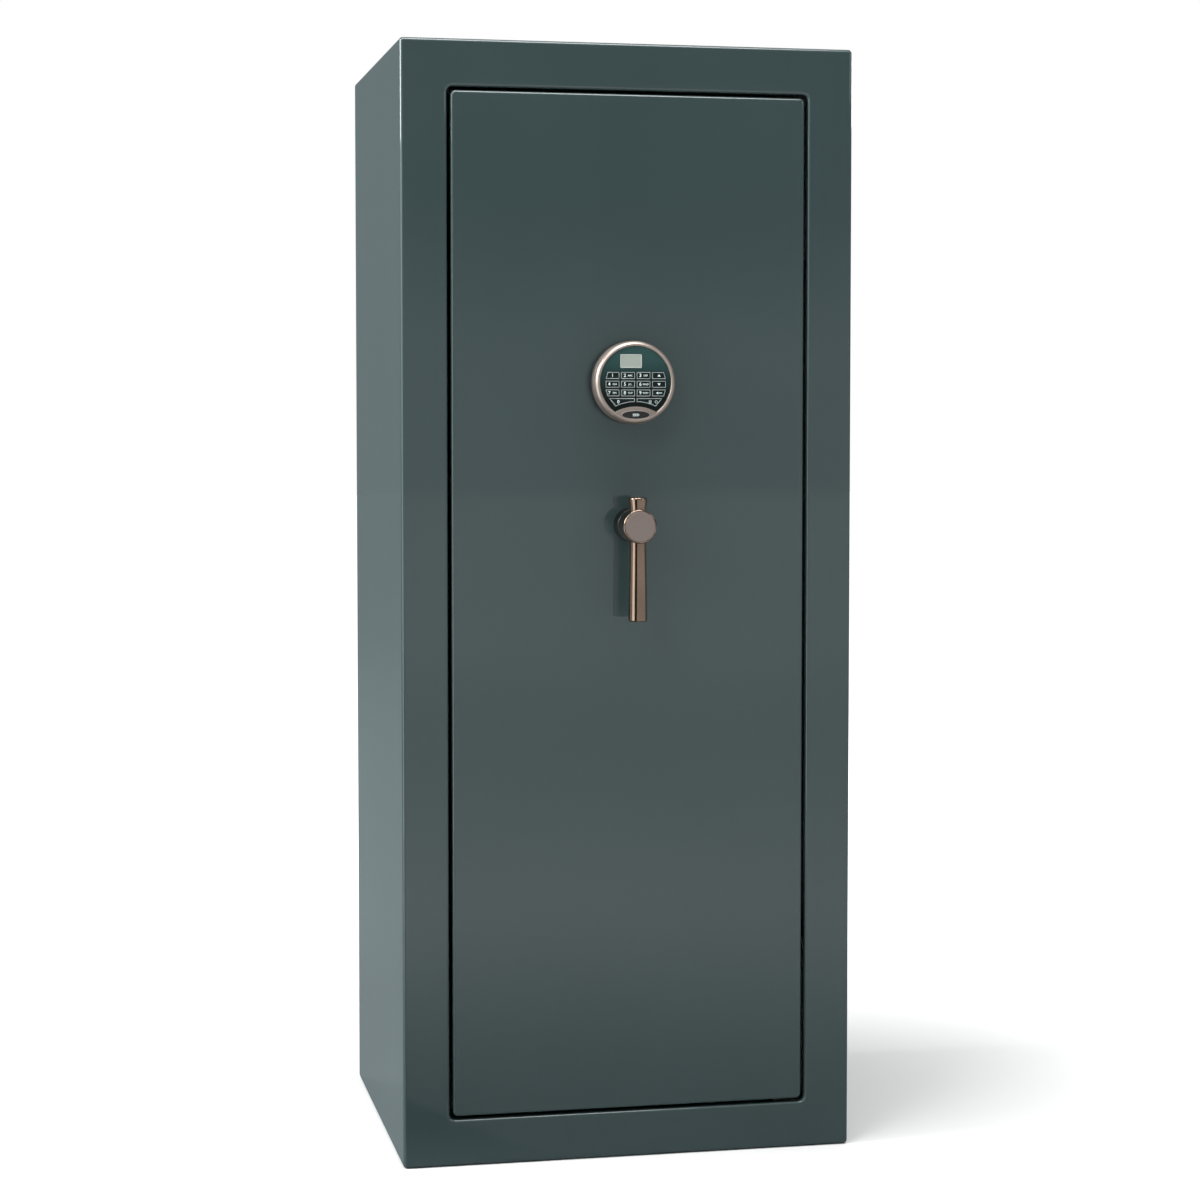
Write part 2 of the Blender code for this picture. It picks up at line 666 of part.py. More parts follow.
def make_pinion(steel):
    """The pinion on the handle shaft, with involute teeth and one tooth pointing straight up."""
    base = PITCH_RADIUS * math.cos(PRESSURE_ANGLE)
    tip = PITCH_RADIUS + PINION_MODULE
    root = PITCH_RADIUS - PINION_MODULE - ROOT_CLEARANCE
    half_tooth = (math.pi * PINION_MODULE / 2 - BACKLASH) / 2 / PITCH_RADIUS
    half_base = half_tooth + involute(base, PITCH_RADIUS)
    flank = [(root, half_base)]
    for step in range(FLANK_STEPS + 1):
        radius = base + (tip - base) * step / FLANK_STEPS
        flank.append((radius, half_base - involute(base, radius)))
    outline = []
    for tooth in range(PINION_TEETH):
        middle = math.pi / 2 - math.tau * tooth / PINION_TEETH
        for radius, swing in flank:
            outline.append((radius, middle + swing))
        for radius, swing in reversed(flank):
            outline.append((radius, middle - swing))
    points = [(r * math.cos(a), HANDLE_Z + r * math.sin(a)) for r, a in outline]
    middle = FRONT + BOLT_DEPTH
    gear = prism("pinion", points, "y", middle - PINION_WIDTH / 2, middle + PINION_WIDTH / 2)
    bore = cylinder("bore", SHAFT_RADIUS + FIT, -PINION_WIDTH, PINION_WIDTH, (0, middle, HANDLE_Z), "y")
    return dress(cut(gear, bore), steel, smooth=True)


def make_bolt_carrier(steel):
    """The sliding bar behind the bolts, its rack over the pinion and the lug the lock blocks."""
    middle = FRONT + BOLT_DEPTH
    front = middle - CARRIER / 2
    back = middle + CARRIER / 2
    levels = bolt_levels()
    low = (CARRIER_LEFT, front, levels[0] - BOLT_RADIUS)
    right = CARRIER_LEFT + CARRIER_WIDTH
    carrier = box("bolt_carrier", low, (right, back, levels[-1] + BOLT_RADIUS))
    pitch = math.pi * PINION_MODULE
    pitch_z = HANDLE_Z + PITCH_RADIUS
    teeth = math.ceil((BOLT_THROW + pitch) / pitch) + 1
    half_pitch = (pitch / 2 - BACKLASH) / 2
    lean = math.tan(PRESSURE_ANGLE)
    half_tip = half_pitch - PINION_MODULE * lean
    dedendum = PINION_MODULE + ROOT_CLEARANCE
    half_root = half_pitch + dedendum * lean
    outline = [(right - CARRIER_WIDTH / 2, pitch_z + dedendum)]
    for tooth in range(-1, teeth):
        middle_x = (tooth + 0.5) * pitch
        outline.append((middle_x - half_root, pitch_z + dedendum))
        outline.append((middle_x - half_tip, pitch_z - PINION_MODULE))
        outline.append((middle_x + half_tip, pitch_z - PINION_MODULE))
        outline.append((middle_x + half_root, pitch_z + dedendum))
    end = teeth * pitch
    outline += [(end, pitch_z + dedendum), (end, pitch_z + dedendum + RACK_BAR)]
    outline.append((right - CARRIER_WIDTH / 2, pitch_z + dedendum + RACK_BAR))
    rack = prism("rack", outline, "y", front + FIT, back - FIT)
    lug_top = LOCK_LOW - LOCK_BOLT_STANDOFF - LUG_DROP
    strap_top = LOCK_LOW - LOCK_BOLT_STANDOFF - LOCK_BOLT_TRAVEL - LUG_DROP
    lug_left = LOCK_BOLT[0] / 2 + LUG_PASS
    strap_left = right - CARRIER_WIDTH / 2
    strap_outline = [
        (strap_left, strap_top - STRAP_HEIGHT),
        (lug_left + LUG_WIDTH, strap_top - STRAP_HEIGHT),
        (lug_left + LUG_WIDTH, lug_top),
        (lug_left, lug_top),
        (lug_left, strap_top),
        (strap_left, strap_top),
    ]
    strap = prism("strap", strap_outline, "y", front + FIT, back - FIT)
    fuse(carrier, rack, strap)
    return dress(carrier, steel)


def make_lock(body_material, bolt_material):
    """The electronic lock body and the small bolt that drops behind the carrier's lug."""
    front = HARD_BACK + FIT
    half = LOCK_SIZE[0] / 2
    body = box("lock_body", (-half, front, LOCK_LOW), (half, front + LOCK_SIZE[1], LOCK_LOW + LOCK_SIZE[2]))
    bolt_half = LOCK_BOLT[0] / 2
    bolt_front = front + (LOCK_SIZE[1] - LOCK_BOLT[1]) * LOCK_BOLT_SEAT
    low = LOCK_LOW - LOCK_BOLT_STANDOFF
    bolt = box(
        "lock_bolt", (-bolt_half, bolt_front, low), (bolt_half, bolt_front + LOCK_BOLT[1], low + LOCK_BOLT[2])
    )
    pocket_low = (-bolt_half - FIT, bolt_front - FIT, LOCK_LOW - FIT)
    pocket_high = (bolt_half + FIT, bolt_front + LOCK_BOLT[1] + FIT, low + LOCK_BOLT[2] + FIT)
    cut(body, box("pocket", pocket_low, pocket_high))
    return dress(body, body_material), dress(bolt, bolt_material)


def make_handle_shaft(steel):
    """The spindle from the hub through the door to the pinion."""
    low = -(BAR_REACH - BAR_WAIST_RADIUS - LEAF / 2)
    high = BOLT_DEPTH + PINION_WIDTH
    return dress(cylinder("handle_shaft", SHAFT_RADIUS, low, high, (0, FRONT, HANDLE_Z), "y"), steel, True)


def make_handle_collar(metal):
    """The fixed collar that the hub turns against, with a bearing sleeve through the door."""
    inner = SHAFT_RADIUS + FIT
    sleeve = DOOR_PLATE + FIT + DOOR_BOARD
    profile = [
        (inner, sleeve),
        (BUSHING_RADIUS, sleeve),
        (BUSHING_RADIUS, -RUNNING_GAP),
        (HUB_RADIUS, -RUNNING_GAP),
        (HUB_RADIUS, -COLLAR_REACH + COLLAR_GROOVE),
        (HUB_RADIUS - COLLAR_GROOVE, -COLLAR_REACH),
        (inner, -COLLAR_REACH),
    ]
    return dress(turned("handle_collar", profile, (0, FRONT, HANDLE_Z), "y", ROUND_STEPS), metal, True)


def make_handle_hub(metal):
    """The hub, bored across for the bar and from behind for the shaft."""
    back = -COLLAR_REACH - RUNNING_GAP
    socket = -(BAR_REACH - BAR_WAIST_RADIUS - LEAF / 2) - FIT
    profile = [
        (0, socket),
        (SHAFT_RADIUS + FIT, socket),
        (SHAFT_RADIUS + FIT, back),
        (HUB_RADIUS - COLLAR_GROOVE, back),
        (HUB_RADIUS, back - COLLAR_GROOVE),
        (HUB_RADIUS, -HUB_REACH + EDGE_ROUND),
    ]
    for step in range(1, BEND_STEPS + 1):
        angle = math.pi / 2 * step / BEND_STEPS
        radius = HUB_RADIUS - EDGE_ROUND * (1 - math.cos(angle))
        profile.append((radius, -HUB_REACH + EDGE_ROUND * (1 - math.sin(angle))))
    profile.append((0, -HUB_REACH))
    hub = turned("handle_hub", profile, (0, FRONT, HANDLE_Z), "y", ROUND_STEPS)
    centre = (0, FRONT - BAR_REACH, HANDLE_Z)
    bore = cylinder("bore", BAR_WAIST_RADIUS + FIT, -HUB_RADIUS * 2, HUB_RADIUS * 2, centre, "z")
    return dress(cut(hub, bore), metal, True)


def make_handle_bar(metal):
    """The bar through the hub: a short stub above and a long lever that swells downwards."""
    clear = HUB_RADIUS + RUNNING_GAP
    profile = [(0, -BAR_LEVER)]
    for step in range(BEND_STEPS + 1):
        angle = math.pi / 2 * step / BEND_STEPS
        radius = BAR_LEVER_RADIUS - EDGE_ROUND * (1 - math.sin(angle))
        profile.append((radius, -BAR_LEVER + EDGE_ROUND * (1 - math.cos(angle))))
    profile += [(BAR_WAIST_RADIUS, -clear), (BAR_WAIST_RADIUS, clear)]
    for step in range(BEND_STEPS + 1):
        angle = math.pi / 2 * step / BEND_STEPS
        radius = BAR_STUB_RADIUS - EDGE_ROUND * (1 - math.cos(angle))
        profile.append((radius, BAR_STUB - EDGE_ROUND * (1 - math.sin(angle))))
    profile.append((0, BAR_STUB))
    centre = (0, FRONT - BAR_REACH, HANDLE_Z)
    return dress(turned("handle_bar", profile, centre, "z", FINE_STEPS), metal, True)


def cap_arc(name, grow):
    """The round boundary between the keypad housing and the battery cap, as a thick disc."""
    centre = (0, FRONT, CAP_ARC_Z)
    low = -KEYPAD_REACH * 2
    return cylinder(name, CAP_ARC_RADIUS + grow, low, KEYPAD_REACH, centre, "y", ROUND_STEPS * 2)


def puck_edge():
    """The rounded outer edge of the keypad, from its side to its front."""
    points = []
    for step in range(BEND_STEPS + 1):
        angle = math.pi / 2 * step / BEND_STEPS
        radius = KEYPAD_RADIUS - KEYPAD_ROUND * (1 - math.cos(angle))
        points.append((radius, -KEYPAD_REACH + KEYPAD_ROUND * (1 - math.sin(angle))))
    return points


def make_keypad_housing(metal):
    """The round housing: a rim round a recessed face, hollow behind, open below for the cap."""
    recess = -KEYPAD_REACH + FACE_RECESS + FACE_THICKNESS + FIT
    web = recess + FACE_WEB
    inner = KEYPAD_RADIUS - KEYPAD_WALL
    profile = [(0, recess), (FACE_RADIUS, recess), (FACE_RADIUS, -KEYPAD_REACH)]
    profile += list(reversed(puck_edge()))
    profile += [(KEYPAD_RADIUS, -KEYPAD_STANDOFF), (inner, -KEYPAD_STANDOFF), (inner, web), (0, web)]
    housing = turned("keypad_housing", profile, (0, FRONT, KEYPAD_Z), "y", ROUND_STEPS)
    cut(housing, cap_arc("boundary", FIT))
    return dress(housing, metal, True)


def make_battery_cap(metal):
    """The lower segment of the keypad, hollow and open above, that draws down off the battery."""
    inner = KEYPAD_RADIUS - CAP_WALL
    front = -KEYPAD_REACH + CAP_WALL
    profile = [(0, -KEYPAD_REACH)] + list(reversed(puck_edge()))
    profile += [(KEYPAD_RADIUS, -KEYPAD_STANDOFF), (inner, -KEYPAD_STANDOFF), (inner, front), (0, front)]
    cap = turned("battery_cap", profile, (0, FRONT, KEYPAD_Z), "y", ROUND_STEPS)
    keep_inside(cap, cap_arc("boundary", 0))
    return dress(cap, metal, True)


def make_battery(material):
    """The nine-volt block behind the face, reached by drawing the cap down."""
    half = BATTERY[0] / 2
    top = KEYPAD_Z - BATTERY_DROP + BATTERY[2]
    back = FRONT - KEYPAD_STANDOFF - BATTERY_STANDOFF
    low = (-half, back - BATTERY[1], top - BATTERY[2])
    return dress(box("battery", low, (half, back, top)), material)


def grown(outline, distance):
    """Push every edge of an anticlockwise outline out by a distance, with mitred corners."""
    points = [Vector(point) for point in outline]
    result = []
    for index, point in enumerate(points):
        before = (point - points[index - 1]).normalized()
        after = (points[(index + 1) % len(points)] - point).normalized()
        normal_before = Vector((before.y, -before.x))
        normal_after = Vector((after.y, -after.x))
        middle = (normal_before + normal_after).normalized()
        result.append(tuple(point + middle * distance / middle.dot(normal_after)))
    return result


def small_key_outline(row, column):
    """A small key; the outer columns lean in at the top or bottom to follow the round face."""
    left = (column - 2) * KEY_PITCH_X + (KEY_PITCH_X - KEY_WIDTH) / 2
    top = KEY_TOP - row * KEY_PITCH_Z - KEY_HEIGHT
    right = left + KEY_WIDTH
    high = top + KEY_HEIGHT
    slant_low = KEY_SLANT if row == 2 else 0
    slant_high = KEY_SLANT if row == 0 else 0
    left_low = left + (slant_low if column == 0 else 0)
    left_high = left + (slant_high if column == 0 else 0)
    right_low = right - (slant_low if column == 3 else 0)
    right_high = right - (slant_high if column == 3 else 0)
    return [(left_low, top), (right_low, top), (right_high, high), (left_high, high)]


def wide_key_outline(side):
    """A wide bottom key whose lower edge follows the battery cap's arc."""
    high = KEY_TOP - 3 * KEY_PITCH_Z
    radius = CAP_ARC_RADIUS + WIDE_KEY_ARC_GAP
    centre_z = CAP_ARC_TOP - CAP_ARC_RADIUS
    outline = []
    for step in range(WIDE_KEY_STEPS + 1):
        x = WIDE_KEY_FOOT + (WIDE_KEY_CENTRE - WIDE_KEY_FOOT) * step / WIDE_KEY_STEPS
        outline.append((-x, centre_z + math.sqrt(radius ** 2 - x ** 2)))
    outline += [(-WIDE_KEY_CENTRE, high), (-WIDE_KEY_HALF, high)]
    if side > 0:
        outline = [(-x, z) for x, z in reversed(outline)]
    return outline


def key_outlines():
    """Every key's name and outline about the keypad's centre."""
    names = [("1", "2", "3", "up"), ("4", "5", "6", "down"), ("7", "8", "9", "back")]
    outlines = {}
    for row, line in enumerate(names):
        for column, name in enumerate(line):
            outlines[f"key_{name}"] = small_key_outline(row, column)
    outlines["key_0"] = wide_key_outline(-1)
    outlines["key_enter"] = wide_key_outline(1)
    return outlines


def make_keypad_face(face_material):
    """The recessed round face, with a hole for each key and for the display."""
    front = -KEYPAD_REACH + FACE_RECESS
    centre = (0, FRONT, KEYPAD_Z)
    face = cylinder("keypad_face", FACE_RADIUS - FIT, front, front + FACE_THICKNESS, centre, "y", ROUND_STEPS)
    cut(face, cap_arc("boundary", FIT * 2))
    low_y = FRONT + front - FACE_THICKNESS
    high_y = FRONT + front + FACE_THICKNESS * 2
    low = (LCD_LEFT - FIT, low_y, KEYPAD_Z + LCD_LOW - FIT)
    holes = [box("lcd_hole", low, (LCD_RIGHT + FIT, high_y, KEYPAD_Z + LCD_HIGH + FIT))]
    for outline in key_outlines().values():
        placed = [(x, z + KEYPAD_Z) for x, z in grown(outline, KEY_GAP)]
        holes.append(prism("key_hole", placed, "y", low_y, high_y))
    cut(face, gathered("holes", holes))
    return dress(face, face_material, True)


def make_lcd(glass):
    """The display window, just proud of the face."""
    front = FRONT - KEYPAD_REACH + FACE_RECESS - FIT
    low = (LCD_LEFT, front, KEYPAD_Z + LCD_LOW)
    return dress(box("lcd_window", low, (LCD_RIGHT, front + FACE_THICKNESS, KEYPAD_Z + LCD_HIGH)), glass)


def make_keys(material):
    """Fourteen separate keys, each free to be pressed in."""
    front = FRONT - KEYPAD_REACH + FACE_RECESS - KEY_STAND
    keys = []
    for name, outline in key_outlines().items():
        placed = [(x, z + KEYPAD_Z) for x, z in outline]
        keys.append(dress(prism(name, placed, "y", front, front + KEY_DEPTH), material))
    return keys


def make_finishes():
    """The safe's plain materials."""
    return {
        "paint": finish("body_paint", (0.075, 0.105, 0.108), 0.28, 0.25),
        "steel": finish("raw_steel", (0.42, 0.43, 0.44), 0.38, 1.0),
        "chrome": finish("bolt_chrome", (0.72, 0.73, 0.74), 0.12, 1.0),
        "brass": finish("brass", (0.62, 0.46, 0.18), 0.30, 1.0),
        "board": finish("fireboard", (0.62, 0.60, 0.57), 0.95, 0.0),
        "fabric": finish("lining_fabric", (0.16, 0.15, 0.14), 0.95, 0.0),
        "rubber": finish("seal_rubber", (0.02, 0.02, 0.02), 0.80, 0.0),
        "lock": finish("lock_case", (0.30, 0.31, 0.33), 0.45, 0.9),
        "bronze": finish("handle_bronze", (0.055, 0.045, 0.040), 0.22, 1.0),
        "pewter": finish("keypad_pewter", (0.23, 0.19, 0.17), 0.34, 0.9),
        "face": finish("keypad_face", (0.010, 0.035, 0.035), 0.30, 0.0),
        "key": finish("key_black", (0.008, 0.014, 0.014), 0.25, 0.0),
        "lcd": finish("display", (0.36, 0.38, 0.33), 0.20, 0.0),
        "battery": finish("battery_case", (0.05, 0.05, 0.055), 0.50, 0.3),
    }


def make_door_pieces(finishes):
    """Everything that only swings with the door."""
    steel = finishes["steel"]
    pieces = [make_door_plate(finishes["paint"]), make_door_box(steel), make_door_seal(finishes["rubber"])]
    pieces += make_door_layers(finishes["board"], steel, finishes["fabric"])
    pieces += [make_hinge_arm(f"hinge_arm_{name}", level, steel) for name, level in HINGE_HEIGHTS.items()]
    pieces += [make_dead_bar(steel), make_handle_collar(finishes["bronze"])]
    pieces += [make_keypad_housing(finishes["pewter"]), make_keypad_face(finishes["face"])]
    pieces += [make_lcd(finishes["lcd"]), make_battery(finishes["battery"])]
    return pieces


def main():
    """Build the safe."""
    clear_scene()
    finishes = make_finishes()
    steel = finishes["steel"]
    make_body_shell(finishes["paint"])
    make_fireboards(finishes["board"])
    make_liners(finishes["fabric"])
    make_furniture(finishes["fabric"])
    for name, level in HINGE_HEIGHTS.items():
        make_hinge_bracket(f"hinge_bracket_{name}", level, steel)
        make_hinge_pin(f"hinge_pin_{name}", level, steel)
    door_axis = joint_empty("door_axis", HINGE)
    carry(door_axis, make_door_pieces(finishes))
    handle_axis = joint_empty("handle_axis", (0, FRONT, HANDLE_Z), door_axis)
    bronze = finishes["bronze"]
    handle = [make_handle_shaft(steel), make_pinion(steel), make_handle_hub(bronze), make_handle_bar(bronze)]
    carry(handle_axis, handle)
    bolt_slide = joint_empty("bolt_slide", (CARRIER_LEFT, FRONT + BOLT_DEPTH, HANDLE_Z), door_axis)
    bolts = [
        make_bolt(f"locking_bolt_{index + 1}", level, finishes["chrome"])
        for index, level in enumerate(bolt_levels())
    ]
    carry(bolt_slide, [make_bolt_carrier(steel), *bolts])
    lock_body, lock_bolt = make_lock(finishes["lock"], finishes["brass"])
    carry(door_axis, [lock_body])
    carry(joint_empty("lock_bolt_slide", (0, FRONT + BOLT_DEPTH, LOCK_LOW), door_axis), [lock_bolt])
    cap_slide = joint_empty("cap_slide", (0, FRONT, KEYPAD_Z), door_axis)
    carry(cap_slide, [make_battery_cap(finishes["pewter"])])
    for key in make_keys(finishes["key"]):
        carry(joint_empty(f"{key.name}_slide", (0, FRONT, KEYPAD_Z), door_axis), [key])


main()
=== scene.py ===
"""Gun safe dressed for show: painted steel body, lined interior, boltwork, keypad and handle.

Metres, +Z up, door facing -Y.  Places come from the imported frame; each class holds the sizes
of its own sub-assembly, builds its meshes, gives them their finishes and rides them on a body.
"""

import logging
import math
from dataclasses import dataclass
from enum import Enum
from typing import Callable, Dict, List, Sequence, Tuple

import bmesh
import bpy
from mathutils import Matrix, Vector


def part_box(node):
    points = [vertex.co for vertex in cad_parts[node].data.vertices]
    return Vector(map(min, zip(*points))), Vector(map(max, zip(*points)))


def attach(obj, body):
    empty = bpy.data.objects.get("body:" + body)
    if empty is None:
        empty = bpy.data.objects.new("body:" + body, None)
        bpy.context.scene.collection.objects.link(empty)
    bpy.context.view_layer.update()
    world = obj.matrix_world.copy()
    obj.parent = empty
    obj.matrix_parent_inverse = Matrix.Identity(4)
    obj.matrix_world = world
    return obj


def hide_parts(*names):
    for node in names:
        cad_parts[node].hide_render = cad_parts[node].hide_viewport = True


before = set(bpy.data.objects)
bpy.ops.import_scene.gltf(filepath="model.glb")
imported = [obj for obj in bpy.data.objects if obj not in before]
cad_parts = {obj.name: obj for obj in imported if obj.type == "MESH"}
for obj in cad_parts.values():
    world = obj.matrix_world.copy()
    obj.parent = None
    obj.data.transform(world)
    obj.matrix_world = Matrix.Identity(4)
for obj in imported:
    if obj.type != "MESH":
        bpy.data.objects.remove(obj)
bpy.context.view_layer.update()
LOG = logging.getLogger("gun_safe")

Colour = Tuple[float, float, float]
Flat = Tuple[float, float]
Profile = List[Flat]
Place = Tuple[float, float, float]
Sockets = Dict[str, bpy.types.NodeSocket]

SHARP = math.radians(38)
ROUND_STEPS = 112
BEND_STEPS = 8
HAIR = 0.0003
BROAD_SHARE = 0.55


# ---------------------------------------------------------------------------------------------
# Node groups shared by the finishes


class Relief(Enum):
    """The fine surface relief that a finish carries."""

    PEEL = "peel"
    BRUSHED = "brushed"
    GRAIN = "grain"
    WEAVE = "weave"
    PILE = "pile"


class NodeBuilder:
    """Adds and joins nodes in one tree."""

    def __init__(self, tree: bpy.types.NodeTree) -> None:
        """Keep the tree to build in."""
        self.tree = tree

    def add(self, kind: str, **settings: object) -> bpy.types.Node:
        """Add one node.

        Args:
            kind: The node's type name, without "ShaderNode".
            settings: Attributes to set on the node.

        Returns:
            The new node.
        """
        node = self.tree.nodes.new("ShaderNode" + kind)
        for name, value in settings.items():
            setattr(node, name, value)
        return node

    def feed(self, socket: bpy.types.NodeSocket, value: object) -> None:
        """Join a socket to another, or set its value.

        Args:
            socket: The input.
            value: Another node's socket, or a plain value.
        """
        if isinstance(value, bpy.types.NodeSocket):
            self.tree.links.new(value, socket)
        else:
            socket.default_value = value

    def math(self, operation: str, *values: object, clamp: bool = False) -> bpy.types.NodeSocket:
        """Add a Math node.

        Args:
            operation: The operation's name.
            values: A socket or a number for each input.
            clamp: Whether the result stays from 0 to 1.

        Returns:
            The node's output.
        """
        node = self.add("Math", operation=operation, use_clamp=clamp)
        for socket, value in zip(node.inputs, values):
            self.feed(socket, value)
        return node.outputs[0]

    def vector_math(self, operation: str, *values: object) -> bpy.types.Node:
        """Add a Vector Math node.

        Args:
            operation: The operation's name.
            values: A socket or a vector for each input.

        Returns:
            The node, whose outputs are Vector and Value.
        """
        node = self.add("VectorMath", operation=operation)
        for socket, value in zip(node.inputs, values):
            self.feed(socket, value)
        return node

    def noise(self, vector: object, scale: object, detail: float = 2.0) -> bpy.types.NodeSocket:
        """Add a Noise texture.

        Args:
            vector: The coordinates.
            scale: Features to the metre.
            detail: Octaves of finer noise.

        Returns:
            The noise value, from 0 to 1.
        """
        node = self.add("TexNoise", noise_dimensions="3D")
        self.feed(node.inputs["Vector"], vector)
        self.feed(node.inputs["Scale"], scale)
        node.inputs["Detail"].default_value = detail
        return node.outputs[0]

    def ramp(self, value: object, low: object, high: object) -> bpy.types.NodeSocket:
        """Stretch a value smoothly so that low becomes 0 and high becomes 1.

        Args:
            value: The socket to stretch.
            low: The value that becomes 0.
            high: The value that becomes 1.

        Returns:
            The stretched value.
        """
        node = self.add("MapRange", interpolation_type="SMOOTHSTEP")
        for socket, given in zip(node.inputs, (value, low, high)):
            self.feed(socket, given)
        return node.outputs[0]

    def mix(self, factor: object, first: object, second: object) -> bpy.types.NodeSocket:
        """Mix two colours.

        Args:
            factor: How much of the second shows.
            first: The colour at 0.
            second: The colour at 1.

        Returns:
            The mixed colour.
        """
        node = self.add("Mix", data_type="RGBA")
        for socket, given in ((node.inputs[0], factor), (node.inputs[6], first), (node.inputs[7], second)):
            self.feed(socket, (*given, 1.0) if isinstance(given, tuple) and len(given) == 3 else given)
        return node.outputs[2]


class Effects:
    """The node groups, each built once."""

    made: Dict[str, bpy.types.NodeTree] = {}

    @classmethod
    def group(
        cls,
        name: str,
        inputs: Dict[str, float],
        outputs: Dict[str, str],
        fill: Callable[[NodeBuilder, Sockets], Sockets],
    ) -> bpy.types.NodeTree:
        """Build a group, or give the one already built.

        Args:
            name: The group's name.
            inputs: Each number input and its usual value; every group also takes Vector.
            outputs: Each output and its socket type.
            fill: Builds the inside and gives the socket for each output.

        Returns:
            The group.
        """
        if name in cls.made:
            return cls.made[name]
        tree = bpy.data.node_groups.new(name, "ShaderNodeTree")
        tree.interface.new_socket("Vector", in_out="INPUT", socket_type="NodeSocketVector")
        for label, value in inputs.items():
            socket = tree.interface.new_socket(label, in_out="INPUT", socket_type="NodeSocketFloat")
            socket.default_value = value
        for label, kind in outputs.items():
            tree.interface.new_socket(label, in_out="OUTPUT", socket_type="NodeSocket" + kind)
        entry = tree.nodes.new("NodeGroupInput")
        leave = tree.nodes.new("NodeGroupOutput")
        results = fill(NodeBuilder(tree), {socket.name: socket for socket in entry.outputs if socket.name})
        for label, socket in results.items():
            tree.links.new(socket, leave.inputs[label])
        cls.made[name] = tree
        return tree

    @classmethod
    def edge_wear(cls) -> bpy.types.NodeTree:
        """A mask where a surface turns a corner, for wear and for painted edge highlights, and the normal
        rounded over that corner.

        Returns:
            The group.
        """

        def fill(nodes: NodeBuilder, given: Sockets) -> Sockets:
            """Compare the normal rounded over an edge with the true one.

            Args:
                nodes: Builds the inside of the group.
                given: The group's inputs by name.

            Returns:
                The socket for each output.
            """
            bevel = nodes.add("Bevel", samples=4)
            nodes.feed(bevel.inputs["Radius"], given["Width"])
            true_normal = nodes.add("NewGeometry").outputs["Normal"]
            dot = nodes.vector_math("DOT_PRODUCT", bevel.outputs[0], true_normal).outputs["Value"]
            turn = nodes.math("SUBTRACT", 1.0, dot, clamp=True)
            broken = nodes.noise(given["Vector"], given["Breakup"], 4.0)
            edge = nodes.ramp(nodes.math("MULTIPLY", turn, nodes.math("ADD", broken, 0.5)), 0.02, 0.20)
            return {"Mask": edge, "Rounded": bevel.outputs[0]}

        inputs = {"Width": 0.001, "Breakup": 60.0}
        return cls.group("edge_wear", inputs, {"Mask": "Float", "Rounded": "Vector"}, fill)

    @classmethod
    def mottle(cls) -> bpy.types.NodeTree:
        """Slow and fine changes of tone.

        Returns:
            The group.
        """

        def fill(nodes: NodeBuilder, given: Sockets) -> Sockets:
            """Blend slow patches with fine ones.

            Args:
                nodes: Builds the inside of the group.
                given: The group's inputs by name.

            Returns:
                The socket for each output.
            """
            broad = nodes.noise(given["Vector"], given["Broad"], 3.0)
            fine = nodes.noise(given["Vector"], given["Fine"], 2.0)
            slow_share = nodes.math("MULTIPLY", broad, BROAD_SHARE)
            fine_share = nodes.math("MULTIPLY", fine, 1.0 - BROAD_SHARE)
            blended = nodes.math("ADD", slow_share, fine_share)
            return {"Tone": nodes.ramp(blended, 0.32, 0.68), "Broad Tone": nodes.ramp(broad, 0.3, 0.7)}

        inputs = {"Broad": 3.0, "Fine": 900.0}
        return cls.group("mottle", inputs, {"Tone": "Float", "Broad Tone": "Float"}, fill)

    @classmethod
    def dust(cls) -> bpy.types.NodeTree:
        """Fine dust that settles on upward faces.

        Returns:
            The group.
        """

        def fill(nodes: NodeBuilder, given: Sockets) -> Sockets:
            """Speckle the faces that look up.

            Args:
                nodes: Builds the inside of the group.
                given: The group's inputs by name.

            Returns:
                The socket for each output.
            """
            up = nodes.vector_math("DOT_PRODUCT", nodes.add("NewGeometry").outputs["Normal"], (0, 0, 1))
            speck = nodes.ramp(nodes.noise(given["Vector"], given["Scale"], 5.0), 0.35, 0.75)
            facing = nodes.ramp(up.outputs["Value"], 0.6, 1.0)
            return {"Mask": nodes.math("MULTIPLY", nodes.math("MULTIPLY", facing, speck), given["Amount"])}

        return cls.group("dust", {"Scale": 140.0, "Amount": 0.1}, {"Mask": "Float"}, fill)

    @classmethod
    def relief(cls, kind: Relief) -> bpy.types.NodeTree:
        """The height in metres of one kind of fine relief.

        Args:
            kind: Which relief.

        Returns:
            The group, whose Height is in metres.
        """

        def peel(nodes: NodeBuilder, given: Sockets) -> Sockets:
            """The orange peel of sprayed paint over slow waves in the sheet.

            Args:
                nodes: Builds the inside of the group.
                given: The group's inputs by name.

            Returns:
                The socket for each output.
            """
            fine = nodes.noise(given["Vector"], given["Scale"], 1.0)
            slow = nodes.math("MULTIPLY", nodes.noise(given["Vector"], 3.2, 1.0), given["Wave"])
            return {"Height": nodes.math("ADD", nodes.math("MULTIPLY", fine, given["Depth"]), slow)}

        def brushed(nodes: NodeBuilder, given: Sockets) -> Sockets:
            """Streaks drawn out sideways, with shallow pits.

            Args:
                nodes: Builds the inside of the group.
                given: The group's inputs by name.

            Returns:
                The socket for each output.
            """
            streaked = nodes.vector_math("MULTIPLY", given["Vector"], (0.04, 0.04, 1.0)).outputs["Vector"]
            lines = nodes.noise(streaked, given["Scale"], 3.0)
            pits = nodes.noise(given["Vector"], 220.0, 2.0)
            height = nodes.math("ADD", lines, nodes.math("MULTIPLY", pits, 0.6))
            return {"Height": nodes.math("MULTIPLY", height, given["Depth"])}

